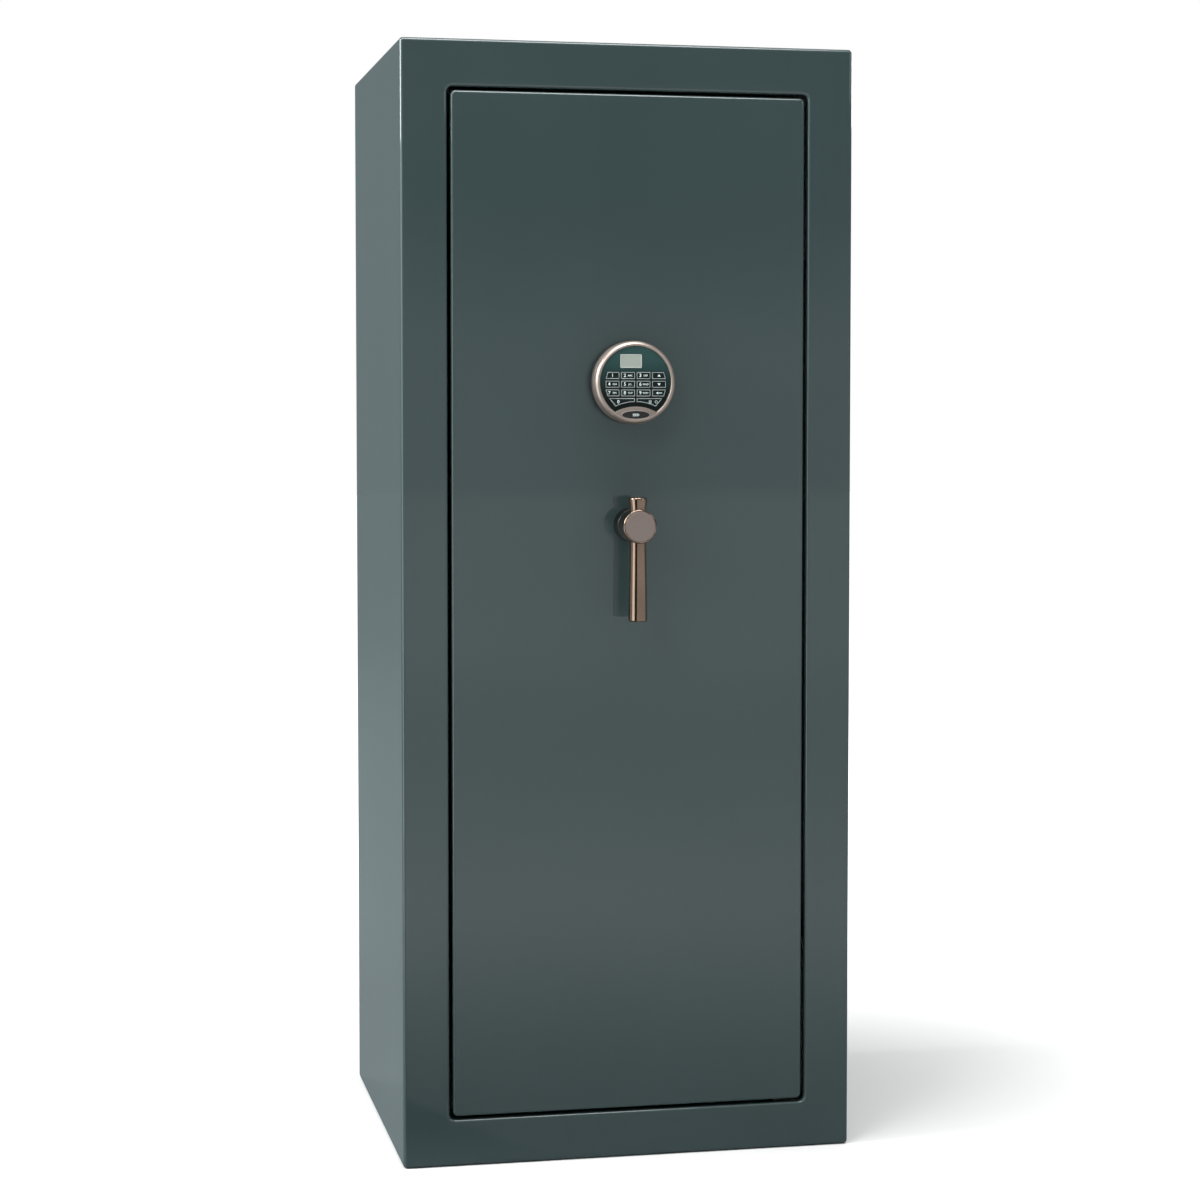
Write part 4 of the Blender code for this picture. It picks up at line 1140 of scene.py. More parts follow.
@dataclass
class Studio:
    """Camera, soft lights, pale floor and a plain surround."""

    lens: float = 79.8024
    sensor: float = 36.0
    shift_y: float = -0.0400
    camera_place: Place = (-0.7750, -3.7677, 1.0132)
    camera_pitch: float = -2.9466
    camera_turn: float = -11.8070
    floor_size: float = 60.0
    behind: Colour = (0.188, 0.225, 0.231)
    ahead: Colour = (0.51, 0.52, 0.52)
    ahead_raised: Colour = (0.04, 0.04, 0.04)
    above: Colour = (0.52, 0.52, 0.52)
    strip: Colour = (0.012, 0.012, 0.012)
    strip_from: float = -0.72
    strip_to: float = -0.40
    strip_fade: float = 0.05
    rearward: Flat = (-0.75, 0.35)
    raised: Flat = (0.02, 0.09)
    upward: Flat = (0.25, 0.85)
    door_line: Flat = (-0.5, -0.2)
    beside_reach: Flat = (0.6, 7.0)
    ahead_reach: Flat = (0.5, 2.4)
    fade_reach: Flat = (0.45, 1.8)
    far_reach: Flat = (3.0, 9.0)
    glow: float = 0.8
    floor_drop: float = 0.0005
    # Floor colours seen only by reflections: painted shade near the safe and a painted teal tint beside it.
    reflected_floor_shade: Colour = (0.16, 0.16, 0.16)
    floor_ahead: Colour = (0.80, 0.80, 0.80)
    floor_beside: Colour = (0.20, 0.24, 0.25)
    floor_far_beside: Colour = (0.46, 0.56, 0.58)
    far_glow: Colour = (0.55, 0.55, 0.55)

    def camera(self) -> None:
        """Set up the camera."""
        data = bpy.data.cameras.new("camera")
        data.lens = self.lens
        data.sensor_width = self.sensor
        data.shift_y = self.shift_y
        made = bpy.data.objects.new("camera", data)
        made.location = self.camera_place
        made.rotation_euler = (math.radians(90 + self.camera_pitch), 0, math.radians(self.camera_turn))
        bpy.context.scene.collection.objects.link(made)
        bpy.context.scene.camera = made

    def light(self, lamp: SoftLight) -> None:
        """Hang one soft light.

        Args:
            lamp: Where it hangs, its size and its power.
        """
        data = bpy.data.lights.new(lamp.name, "AREA")
        data.shape = "RECTANGLE"
        data.size = lamp.width
        data.size_y = lamp.height
        data.energy = lamp.watts
        made = bpy.data.objects.new(lamp.name, data)
        made.location = lamp.place
        made.rotation_euler = (Vector(lamp.aim) - Vector(lamp.place)).to_track_quat("-Z", "Y").to_euler()
        bpy.context.scene.collection.objects.link(made)

    def dark_strip(self, nodes: NodeBuilder, bearing: bpy.types.NodeSocket) -> bpy.types.NodeSocket:
        """Mask the dark gap between the main light and the front of the room.

        Args:
            nodes: Builds the tree that wants the mask.
            bearing: The sideways share of the direction, minus on the left.

        Returns:
            One inside the gap and nought outside it.
        """
        low, high = self.strip_from, self.strip_to
        starts = nodes.ramp(bearing, low - self.strip_fade, low)
        ends = nodes.ramp(bearing, high, high + self.strip_fade)
        return nodes.math("MULTIPLY", starts, nodes.math("SUBTRACT", 1.0, ends))

    def surround(self) -> None:
        """Light the room from all round: bright above and behind, darker ahead of the door."""
        world = bpy.data.worlds.new("surround")
        world.use_nodes = True
        bpy.context.scene.world = world
        nodes = NodeBuilder(world.node_tree)
        split = nodes.add("SeparateXYZ")
        nodes.feed(split.inputs[0], nodes.add("TexCoord").outputs["Generated"])
        rearward = nodes.ramp(split.outputs[1], *self.rearward)
        raised = nodes.ramp(split.outputs[2], *self.raised)
        ahead = nodes.mix(raised, self.ahead, self.ahead_raised)
        ahead = nodes.mix(self.dark_strip(nodes, split.outputs[0]), ahead, self.strip)
        level = nodes.mix(rearward, ahead, self.behind)
        upward = nodes.ramp(split.outputs[2], *self.upward)
        level = nodes.mix(upward, level, self.above)
        seen = nodes.add("LightPath").outputs["Is Camera Ray"]
        level = nodes.mix(seen, level, (1.0, 1.0, 1.0))
        nodes.feed(world.node_tree.nodes["Background"].inputs["Color"], level)

    def floor(self) -> None:
        """Lay the pale floor, which glows white to the camera away from the safe; what reflections see of it
        is painted: shade near the safe, a teal tint beside it, the dark strip and a glow far ahead.
        """
        bm = bmesh.new()
        bmesh.ops.create_grid(bm, x_segments=8, y_segments=8, size=self.floor_size / 2)
        made = mesh_object("studio_floor", bm)
        made.location.z = -self.floor_drop
        material = bpy.data.materials.new("pale_floor")
        material.use_nodes = True
        nodes = NodeBuilder(material.node_tree)
        shader = material.node_tree.nodes["Principled BSDF"]
        place = nodes.add("TexCoord").outputs["Object"]
        tone = nodes.noise(place, 1.5, 4.0)
        pale = nodes.mix(tone, (0.90, 0.90, 0.90), (0.94, 0.94, 0.94))
        split = nodes.add("SeparateXYZ")
        nodes.feed(split.inputs[0], place)
        reach = nodes.vector_math("LENGTH", place).outputs["Value"]
        spread_beside = nodes.ramp(reach, *self.beside_reach)
        beside = nodes.mix(spread_beside, self.floor_beside, self.floor_far_beside)
        spread_ahead = nodes.ramp(reach, *self.ahead_reach)
        ahead = nodes.mix(spread_ahead, self.reflected_floor_shade, self.floor_ahead)
        rearward = nodes.ramp(split.outputs[1], *self.door_line)
        strip = self.dark_strip(nodes, nodes.math("DIVIDE", split.outputs[0], reach))
        ahead = nodes.mix(strip, ahead, self.strip)
        # Colour seen only by reflections: painted shade ahead of the door and a painted teal tint beside it.
        mirrored = nodes.mix(rearward, ahead, beside)
        path = nodes.add("LightPath")
        nodes.feed(shader.inputs["Base Color"], nodes.mix(path.outputs["Is Glossy Ray"], pale, mirrored))
        fading = nodes.ramp(reach, *self.fade_reach)
        distant = nodes.math("MULTIPLY", fading, path.outputs["Is Camera Ray"])
        glow = nodes.mix(distant, (0.0, 0.0, 0.0), (1.0, 1.0, 1.0))
        # Painted glow far ahead, seen only by reflections.
        far = nodes.math("MULTIPLY", nodes.ramp(reach, *self.far_reach), path.outputs["Is Glossy Ray"])
        far_ahead = nodes.math("MULTIPLY", far, nodes.math("SUBTRACT", 1.0, rearward))
        far_ahead = nodes.math("MULTIPLY", far_ahead, nodes.math("SUBTRACT", 1.0, strip))
        nodes.feed(shader.inputs["Emission Color"], nodes.mix(far_ahead, glow, self.far_glow))
        shader.inputs["Emission Strength"].default_value = self.glow
        shader.inputs["Roughness"].default_value = 0.55
        shader.inputs["Specular IOR Level"].default_value = 0.3
        made.data.materials.append(material)

    def build(self) -> None:
        """Set the whole studio up."""
        bpy.context.scene.view_settings.view_transform = "Standard"
        self.camera()
        self.surround()
        self.floor()
        for lamp in LIGHTS:
            self.light(lamp)
        LOG.info("studio ready")


# ---------------------------------------------------------------------------------------------
# Body


@dataclass
class SafeBody:
    """The welded and painted steel body with its bent front frame and jamb."""

    bend: float = 0.005
    sheet: float = 0.003
    frame_corner: float = 0.008
    frame_bend: float = 0.0045
    jamb: float = 0.034
    hinge_jamb: float = 0.010
    hinge_jamb_reach: float = 0.040
    step_width: float = 0.0005
    seam_inset: float = 0.010
    seam_radius: float = 0.0016
    seam_step: float = 0.006
    seam_ripple: float = 0.0004
    seam_pitch: float = 0.009

    def __post_init__(self) -> None:
        """Read the outer size and the opening from the frame."""
        self.low, self.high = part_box("body_shell")
        self.middle = (self.low + self.high) / 2
        self.half_x = (self.high.x - self.low.x) / 2
        self.half_z = (self.high.z - self.low.z) / 2
        self.open_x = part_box("liner_right")[0].x
        self.open_z = (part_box("liner_ceiling")[0].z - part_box("liner_floor")[1].z) / 2
        self.clear_x = self.open_x - self.hinge_jamb_reach

    def ring(self, y: float, inset_by: float, half_x: float, half_z: float, corner: float) -> List[Vector]:
        """One rounded rectangle, with points where the jamb changes depth.

        Args:
            y: Its depth.
            inset_by: Its distance in from the half sizes.
            half_x: Half its width.
            half_z: Half its height.
            corner: Its corner radius.

        Returns:
            The ring.
        """
        half_x -= inset_by
        half_z -= inset_by
        radius = max(corner - inset_by, corner / 4)
        flat: Profile = []
        for quarter, (side_x, side_z) in enumerate(((1, 1), (-1, 1), (-1, -1), (1, -1))):
            centre = (side_x * (half_x - radius), side_z * (half_z - radius))
            flat += arc(centre, (radius, radius), 90 * quarter, 90 * quarter + 90, BEND_STEPS)
            if quarter == 0:
                flat += [(self.clear_x + self.step_width, half_z), (self.clear_x, half_z)]
            if quarter == 2:
                flat += [(self.clear_x, -half_z), (self.clear_x + self.step_width, -half_z)]
        return [Vector((x + self.middle.x, y, z + self.middle.z)) for x, z in flat]

    def jamb_ring(self, half_x: float, half_z: float, corner: float) -> List[Vector]:
        """The free edge of the jamb: deep all round but shallow beside the hinges.

        Args:
            half_x: Half its width.
            half_z: Half its height.
            corner: Its corner radius.

        Returns:
            The ring.
        """
        ring = self.ring(self.low.y + self.jamb, 0, half_x, half_z, corner)
        for point in ring:
            if point.x > self.clear_x + self.step_width / 2:
                point.y = self.low.y + self.hinge_jamb
        return ring

    def bends(self, radius: float) -> List[Tuple[float, float]]:
        """(depth, inset) points round a bend, from its flat face to its side."""
        return [(radius - b, radius - a) for a, b in arc((0, 0), (radius, radius), 90, 0, BEND_STEPS)]

    def shell(self) -> bpy.types.Object:
        """Loft the body in one skin: back, sides, front bend, frame, jamb and inner walls.

        Returns:
            The body.
        """
        outer = (self.half_x, self.half_z, self.bend)
        turns = self.bends(self.bend)
        rings = [self.ring(self.high.y - depth, inward, *outer) for depth, inward in turns]
        rings += [self.ring(self.low.y + depth, inward, *outer) for depth, inward in reversed(turns)]
        opening = (self.open_x, self.open_z, self.frame_corner)
        for depth, inward in self.bends(self.frame_bend):
            wide = (self.open_x + inward, self.open_z + inward, self.frame_corner + inward)
            rings.append(self.ring(self.low.y + depth, 0, *wide))
        grown = tuple(size + self.sheet for size in opening)
        rings.append(self.jamb_ring(*opening))
        rings.append(self.jamb_ring(*grown))
        rings.append(self.ring(self.low.y + self.frame_bend, 0, *grown))
        rings.append(self.ring(self.low.y + self.sheet, 0, *(size + self.frame_bend for size in grown)))
        rings.append(self.ring(self.low.y + self.sheet, self.sheet, *outer))
        rings.append(self.ring(self.high.y - self.sheet, self.sheet, *outer))
        return loft("painted_shell", rings)

    def back_seam(self) -> bpy.types.Object:
        """The weld run round the back panel.

        Returns:
            The weld.
        """
        depth = self.high.y - self.seam_radius * 0.7
        ring = self.ring(depth, self.seam_inset, self.half_x, self.half_z, self.bend * 4)
        points = []
        for first, second in zip(ring, ring[1:] + ring[:1]):
            count = max(1, round((second - first).length / self.seam_step))
            points += [tuple(first.lerp(second, step / count)) for step in range(count)]
        seam = tube("back_weld", points, self.seam_radius, closed=True, sides=2)
        for vertex in seam.data.vertices:
            along = vertex.co.x + vertex.co.z
            vertex.co.y -= self.seam_ripple * abs(math.sin(along * math.pi / self.seam_pitch))
        return seam

    def build(self) -> None:
        """Build and dress the body."""
        present(self.shell(), "body", PAINT, "body_shell")
        present(self.back_seam(), "body", PAINTED_WELD)


# ---------------------------------------------------------------------------------------------
# Interior


@dataclass
class LinedInterior:
    """Insulation boards, carpeted liners, shelves, divider and barrel rest."""

    board_round: float = 0.003
    binding_reach: float = 0.014
    binding_proud: float = 0.0009
    notch_count: int = 5
    notch_radius: float = 0.017
    notch_ease: float = 0.0045

    def carpeted(self, node: str, finish: Finish) -> bpy.types.Object:
        """A board wrapped in carpet in place of a plain one.

        Args:
            node: The board.
            finish: The carpet.

        Returns:
            The new board.
        """
        low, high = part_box(node)
        board = rounded_box(node + "_carpeted", low, high, self.board_round)
        return present(board, "body", finish, node)

    def binding(self, node: str, upright: bool) -> None:
        """A woven binding over the front edge of a shelf or divider.

        Args:
            node: The board.
            upright: Whether the board stands on edge.
        """
        low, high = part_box(node)
        proud = self.binding_proud
        front = Vector((low.x, low.y - proud, low.z))
        back = Vector((high.x, low.y + self.binding_reach, high.z))
        if upright:
            front.x -= proud
            back.x += proud
        else:
            front.z -= proud
            back.z += proud
            front.x = max(front.x, -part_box("liner_right")[0].x)
            back.x = min(back.x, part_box("liner_right")[0].x)
        present(rounded_box(node + "_binding", front, back, self.board_round), "body", BINDING)

    def barrel_rest(self) -> None:
        """The notched rest for long barrels, carpeted like the shelves."""
        low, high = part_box("gun_rack")
        pitch = (high.x - low.x) / self.notch_count
        outline: Profile = [(high.x, high.y), (low.x, high.y), (low.x, low.y)]
        for index in range(self.notch_count):
            middle = low.x + pitch * (index + 0.5)
            outline += arc((middle, low.y), (self.notch_radius, self.notch_radius), 180, 0, 16)
        outline.append((high.x, low.y))
        rest = prism("barrel_rest", eased(outline, self.notch_ease), low.z, high.z, "z", self.board_round)
        present(rest, "body", SHELF_CLOTH, "gun_rack")

    def build(self) -> None:
        """Build and dress the interior."""
        for side in ("left", "right", "top", "back", "floor"):
            dress_node("fireboard_" + side, FIREBOARD)
        for side in ("left", "right", "floor", "ceiling", "back"):
            self.carpeted("liner_" + side, LINING)
        for node in ("top_shelf", "divider", "shelf_lower", "shelf_upper"):
            self.carpeted(node, SHELF_CLOTH)
            self.binding(node, upright=node == "divider")
        self.barrel_rest()


# ---------------------------------------------------------------------------------------------
# Door


@dataclass
class PocketRow:
    """One row of storage pockets on the door's inner panel."""

    name: str
    low: float
    high: float
    count: int
    depth: float


POCKET_ROWS = (
    PocketRow("lower_pocket", 0.13, 0.43, 2, 0.019),
    PocketRow("middle_pocket", 0.55, 0.79, 3, 0.016),
    PocketRow("upper_pocket", 0.99, 1.21, 2, 0.016),
)
STRAP_HEIGHTS = (0.875, 0.925, 1.285, 1.335)


@dataclass
class SafeDoor:
    """The painted plate, the welded box behind it, the seal and the covered inner panel."""

    plate_bend: float = 0.0045
    plate_corner: float = 0.0075
    plate_back_ease: float = 0.0006
    panel_round: float = 0.0016
    pocket_margin: float = 0.020
    pocket_gap: float = 0.010
    pocket_grid: Tuple[int, int] = (28, 22)
    mouth_radius: float = 0.0022
    piping_radius: float = 0.0014
    border_margin: float = 0.008
    border_round: float = 0.010
    border_radius: float = 0.0013
    cloth: float = 0.0008
    webbing_width: float = 0.025
    webbing_thick: float = 0.0012
    webbing_edge: float = 0.0003
    strap_loops: int = 9
    steps_per_loop: int = 10
    loop_lift: float = 0.0035
    loop_slack: float = 1.02
    seal_ribs: int = 2

    def plate(self) -> bpy.types.Object:
        """The door plate with its bent front edge.

        Returns:
            The plate.
        """
        low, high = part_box("door_plate")
        half_x = (high.x - low.x) / 2
        half_z = (high.z - low.z) / 2
        middle = (low + high) / 2
        radius = self.plate_bend
        steps = [(radius - b, radius - a) for a, b in arc((0, 0), (radius, radius), 90, 0, BEND_STEPS)]
        ease = self.plate_back_ease
        steps += [(high.y - low.y - ease, 0), (high.y - low.y, ease)]
        rings = []
        for depth, inward in steps:
            corner = max(self.plate_corner - inward, self.plate_corner / 4)
            flat: Profile = []
            for quarter, (side_x, side_z) in enumerate(((1, 1), (-1, 1), (-1, -1), (1, -1))):
                centre = (side_x * (half_x - inward - corner), side_z * (half_z - inward - corner))
                flat += arc(centre, (corner, corner), 90 * quarter, 90 * quarter + 90, BEND_STEPS)
            rings.append([Vector((x, low.y + depth, z + middle.z)) for x, z in flat])
        return loft("painted_door_plate", rings)

    def seal(self) -> bpy.types.Object:
        """The ribbed heat seal, bent round the top, opening side and bottom of the box.

        Returns:
            The seal.
        """
        low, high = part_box("door_seal")
        inner_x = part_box("door_box")[0].x - HAIR
        width = inner_x - low.x
        rise = high.y - low.y
        section = [(0.0, 0.0), (width, 0.0), (width, rise * 0.5)]
        for rib in range(self.seal_ribs):
            middle = width * (1 - (rib + 0.5) / self.seal_ribs)
            section += arc((middle, rise * 0.5), (width / self.seal_ribs * 0.42, rise * 0.5), 0, 180, 6)
        section.append((0.0, rise * 0.5))
        path = [(high.x, high.z), (low.x, high.z), (low.x, low.z), (high.x, low.z)]
        rings = []
        for index, (x, z) in enumerate(path):
            toward_x = 0 if index in (0, 3) else 1
            toward_z = -1 if index < 2 else 1
            rings.append([Vector((x + a * toward_x, low.y + b, z + a * toward_z)) for a, b in section])
        return loft("ribbed_door_seal", rings, weighted=False)

    def pocket(self, name: str, low: Place, high: Place, depth: float) -> None:
        """One gathered pocket with a bound mouth.

        Args:
            name: The pocket's name.
            low: Its lower corner on the panel.
            high: Its upper corner on the panel.
            depth: How far its mouth stands off the panel.
        """
        across, upward = self.pocket_grid
        width = high[0] - low[0]
        height = high[2] - low[2]

        def point(u: float, v: float) -> Vector:
            """A point of the cloth.

            Args:
                u: The share of the way across.
                v: The share of the way up.

            Returns:
                The point, swelled towards the mouth, gathered and sagging a little.
            """
            swell = math.sin(math.pi * u) ** 0.55 * (0.35 + 0.65 * math.sin(math.pi * v * 0.62))
            foot = min(1.0, v / 0.12) ** 0.5
            crease = 0.0010 * math.sin(u * 17 + v * 5) * math.sin(math.pi * u) * foot
            stand = HAIR + self.cloth + depth * swell * foot + crease
            sag = 0.006 * math.sin(math.pi * u) * v ** 3
            out = max(stand, HAIR + self.cloth)
            return Vector((low[0] + width * u, low[1] + out, low[2] + height * v - sag))

        bm = bmesh.new()
        grid = []
        for j in range(upward + 1):
            grid.append([bm.verts.new(point(i / across, j / upward)) for i in range(across + 1)])
        for lower, upper in zip(grid, grid[1:]):
            for i in range(across):
                bm.faces.new((lower[i], lower[i + 1], upper[i + 1], upper[i]))
        area = sum(face.calc_area() for face in bm.faces)
        mouth = [row.co.copy() for row in grid[-1]]
        sides = [row[0].co.copy() for row in reversed(grid)]
        sides += [vertex.co.copy() for vertex in grid[0]] + [row[-1].co.copy() for row in grid]
        sheet = mesh_object(name, bm)
        thick = sheet.modifiers.new("cloth", "SOLIDIFY")
        thick.thickness = self.cloth
        thick.offset = 0.0
        present(sheet, "door", POCKET_CLOTH)
        bind = tube(name + "_mouth", [tuple(p) for p in mouth], self.mouth_radius, sides=2)
        present(bind, "door", WEBBING)
        piping = tube(name + "_piping", [tuple(p) for p in sides], self.piping_radius, sides=2)
        present(piping, "door", WEBBING)

    def strap(self, name: str, low_x: float, high_x: float, y: float, z: float, loops: int) -> None:
        """A webbing strap, stitched down between shallow loops.

        Args:
            name: The strap's name.
            low_x: Its left end.
            high_x: Its right end.
            y: The panel's face.
            z: The strap's middle.
            loops: How many loops it makes.
        """
        steps = loops * self.steps_per_loop
        half = self.webbing_width / 2
        thick = self.webbing_thick
        edge = self.webbing_edge
        rings = []
        for step in range(steps + 1):
            t = step / steps
            x = low_x + (high_x - low_x) * t
            lift = HAIR + self.loop_lift * abs(math.sin(math.pi * t * loops)) ** 0.7
            section = [(0.0, -half), (thick, edge - half), (thick, half - edge), (0.0, half)]
            rings.append([Vector((x, y + lift + out, z + up)) for out, up in section])
        made = loft(name, rings, weighted=False)
        present(made, "door", WEBBING)

    def inner_panel(self) -> None:
        """The fabric-covered panel with its pockets and webbing."""
        low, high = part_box("door_panel")
        panel = rounded_box("covered_door_panel", low, high, self.panel_round)
        present(panel, "door", PANEL_CLOTH, "door_panel")
        margin = self.border_margin
        left, right = low.x + margin, high.x - margin
        foot, top = low.z + margin, high.z - margin
        border = [(left, top), (left, foot), (right, foot), (right, top)]
        path = [(x, high.y, z) for x, z in eased(border, self.border_round, 5)]
        border_piping = tube("panel_piping", path, self.border_radius, closed=True, sides=2)
        present(border_piping, "door", WEBBING)
        left = low.x + self.pocket_margin
        room = high.x - low.x - 2 * self.pocket_margin
        for row in POCKET_ROWS:
            width = (room - self.pocket_gap * (row.count - 1)) / row.count
            for index in range(row.count):
                start = left + index * (width + self.pocket_gap)
                corner = (start, high.y, row.low)
                self.pocket(f"{row.name}_{index + 1}", corner, (start + width, high.y, row.high), row.depth)
        for index, z in enumerate(STRAP_HEIGHTS):
            self.strap(f"webbing_{index + 1}", left, left + room, high.y, z, self.strap_loops)

    def build(self) -> None:
        """Build and dress the door."""
        present(self.plate(), "door", PAINT, "door_plate")
        dress_node("door_box", STEEL)
        dress_node("door_fireboard", FIREBOARD)
        dress_node("hard_plate", STEEL)
        present(self.seal(), "door", SEAL, "door_seal")
        self.inner_panel()


# ---------------------------------------------------------------------------------------------
# Hinges


@dataclass
class InternalHinges:
    """Welded brackets, pins and curved arms, with their weld beads."""

    bead: float = 0.0022
    bead_step: float = 0.0012
    ripple: float = 0.14
    ripple_pitch: float = 0.0036
    bead_lift: float = 0.0004
    bead_end: float = 0.002

    def bead_along(self, name: str, body: str, start: Place, end: Place) -> None:
        """A rippled weld bead between two points.

        Args:
            name: The bead's name.
            body: The body that it is on.
            start: Where it starts.
            end: Where it ends.
        """
        first, last = Vector(start), Vector(end)
        count = max(2, round((last - first).length / self.bead_step))
        points = [tuple(first.lerp(last, step / count)) for step in range(count + 1)]
        made = tube(name, points, self.bead, sides=2)
        direction = (last - first).normalized()
        for vertex in made.data.vertices:
            along = (vertex.co - first).dot(direction)
            centre = first + direction * along
            swell = 1 + self.ripple * math.sin(along * math.tau / self.ripple_pitch)
            vertex.co = centre + (vertex.co - centre) * swell
        present(made, body, WELD)

    def build(self) -> None:
        """Dress the hinges and lay their welds."""
        for level in ("lower", "upper"):
            bracket = f"hinge_bracket_{level}"
            dress_node(bracket, STEEL, 0.0006)
            dress_node(f"hinge_pin_{level}", CHROME, 0.0006)
            dress_node(f"hinge_arm_{level}", STEEL, 0.0006)
            low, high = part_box(bracket)
            for name, z in (("top", high.z), ("bottom", low.z)):
                self.bead_along(f"{bracket}_weld_{name}", "body", (high.x, low.y, z), (high.x, high.y, z))
            arm_low, arm_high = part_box(f"hinge_arm_{level}")
            plate_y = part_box("door_plate")[1].y
            tab_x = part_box("door_box")[1].x
            for name, z in (("top", arm_high.z), ("bottom", arm_low.z)):
                start = (tab_x + HAIR, plate_y + self.bead_lift, z)
                end = (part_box("door_plate")[1].x - self.bead_end, plate_y + self.bead_lift, z)
                self.bead_along(f"hinge_arm_{level}_weld_{name}", "door", start, end)
        dress_node("hinge_side_bar", STEEL, 0.0008)


# ---------------------------------------------------------------------------------------------
# Boltwork and lock


@dataclass
class Boltwork:
    """The sliding bolts, their carrier, the pinion and the electronic lock."""

    nose: float = 0.0026
    tail: float = 0.0008
    groove_from_nose: float = 0.0150
    groove: float = 0.0005

    def bolt(self, node: str) -> None:
        """One turned bolt with an eased nose and a fine turned groove.

        Args:
            node: The bolt.
        """
        low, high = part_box(node)
        radius = (high.z - low.z) / 2
        profile: Profile = [(0.0, low.x)]
        nose = arc((0, 0), (self.nose, self.nose), 90, 0, 6)
        profile += [(radius - self.nose + a, low.x + self.nose - b) for a, b in nose]
        start = low.x + self.groove_from_nose
        profile += [(radius, start), (radius - self.groove, start + self.groove)]
        profile += [(radius - self.groove, start + self.groove * 3), (radius, start + self.groove * 4)]
        profile += [(radius, high.x - self.tail), (radius - self.tail, high.x), (0.0, high.x)]
        centre = (0.0, (low.y + high.y) / 2, (low.z + high.z) / 2)
        present(lathe(node + "_turned", profile, centre, "x", 64), "bolts", CHROME, node)

    def build(self) -> None:
        """Build and dress the boltwork."""
        for index in range(4):
            self.bolt(f"locking_bolt_{index + 1}")
        dress_node("bolt_carrier", STEEL, 0.0005)
        dress_node("pinion", STEEL)
        dress_node("handle_shaft", STEEL, 0.0004)
        dress_node("lock_body", LOCK_CASE, 0.0015)
        dress_node("lock_bolt", BRASS, 0.0006)


# ---------------------------------------------------------------------------------------------
# Handle


@dataclass
class LeverHandle:
    """The round hub on its collar and the bar that runs through it."""

    rim: float = 0.0020
    groove: float = 0.0007
    disc_margin: float = 0.0004
    disc_ease: float = 0.0004
    foot_ease: float = 0.0006
    front_ring: float = 0.0030
    waist_past: float = 0.0004
    waist: float = 0.0110
    stub: float = 0.0127
    end_round: float = 0.0024
    gap: float = 0.0006

    def collar(self) -> None:
        """The fixed collar behind the hub, stepped down to a thin foot."""
        low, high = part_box("handle_collar")
        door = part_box("door_plate")[0].y
        radius = (high.x - low.x) / 2
        middle = (low.z + high.z) / 2
        front = low.y - door
        ease = self.foot_ease
        foot = -ease
        step = front + self.front_ring
        waist = radius - self.groove
        profile: Profile = [(0.0, foot), (radius - ease, foot), (radius, foot - ease), (radius, step)]
        profile += [(waist, step - self.groove), (waist, step - self.groove * 2)]
        profile += [(radius, step - self.groove * 3 + HAIR), (radius, front + self.groove)]
        profile += [(radius - self.groove, front), (0.0, front)]
        present(lathe("collar_ring", profile, (0, door, middle), "y"), "door", COLLAR_DARK, "handle_collar")

    def hub(self) -> None:
        """The hub and the satin disc set in its face."""
        low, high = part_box("handle_hub")
        radius = (high.x - low.x) / 2
        middle = (low.z + high.z) / 2
        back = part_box("handle_collar")[0].y - low.y - self.gap
        disc = radius - self.rim - self.disc_margin
        depth = self.rim * 1.3
        profile: Profile = [(0.0, back), (radius - self.groove, back)]
        profile += [(radius, back - self.groove), (radius, depth)]
        rounding = arc((0, 0), (self.rim, self.rim), 0, 90, 8)
        profile += [(radius - self.rim + a, depth * (1 - b / self.rim)) for a, b in rounding]
        profile += [(disc + self.groove * 0.5, 0.0), (disc + self.groove * 0.3, self.groove)]
        profile.append((0.0, self.groove))
        present(lathe("hub_turned", profile, (0, low.y, middle), "y"), "handle", BRONZE, "handle_hub")
        sunk = self.groove + HAIR
        edge = self.disc_ease
        face: Profile = [(0.0, sunk), (disc, sunk), (disc, edge), (disc - edge, 0.0), (0.0, 0.0)]
        present(lathe("hub_disc", face, (0, low.y, middle), "y"), "handle", BRONZE_SATIN)

    def bar(self) -> None:
        """The bar: a short stub above, a waist in the hub and a lever that swells downwards."""
        low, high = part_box("handle_bar")
        hub_low, hub_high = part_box("handle_hub")
        hub = (hub_high.x - hub_low.x) / 2
        middle = (hub_low.z + hub_high.z) / 2
        wide = (high.x - low.x) / 2
        ease = self.end_round
        foot = low.z - middle
        top = high.z - middle
        profile: Profile = [(0.0, foot)]
        profile += [(wide - ease + a, foot + ease - b) for a, b in arc((0, 0), (ease, ease), 90, 0, 6)]
        profile += [(self.waist, -hub - self.waist_past), (self.waist, hub + self.waist_past)]
        profile += [(self.stub - ease + a, top - ease + b) for a, b in arc((0, 0), (ease, ease), 0, 90, 6)]
        profile.append((0.0, top))
        centre = (0, (low.y + high.y) / 2, middle)
        present(lathe("lever_bar", profile, centre, "z", 72), "handle", BRONZE, "handle_bar")

    def build(self) -> None:
        """Build and dress the handle."""
        self.collar()
        self.hub()
        self.bar()


# ---------------------------------------------------------------------------------------------
# Keypad


KEY_LEGENDS = {
    "1": "",
    "2": "ABC",
    "3": "DEF",
    "4": "GHI",
    "5": "JKL",
    "6": "MNO",
    "7": "PRS",
    "8": "TUV",
    "9": "WXY",
    "0": "",
}


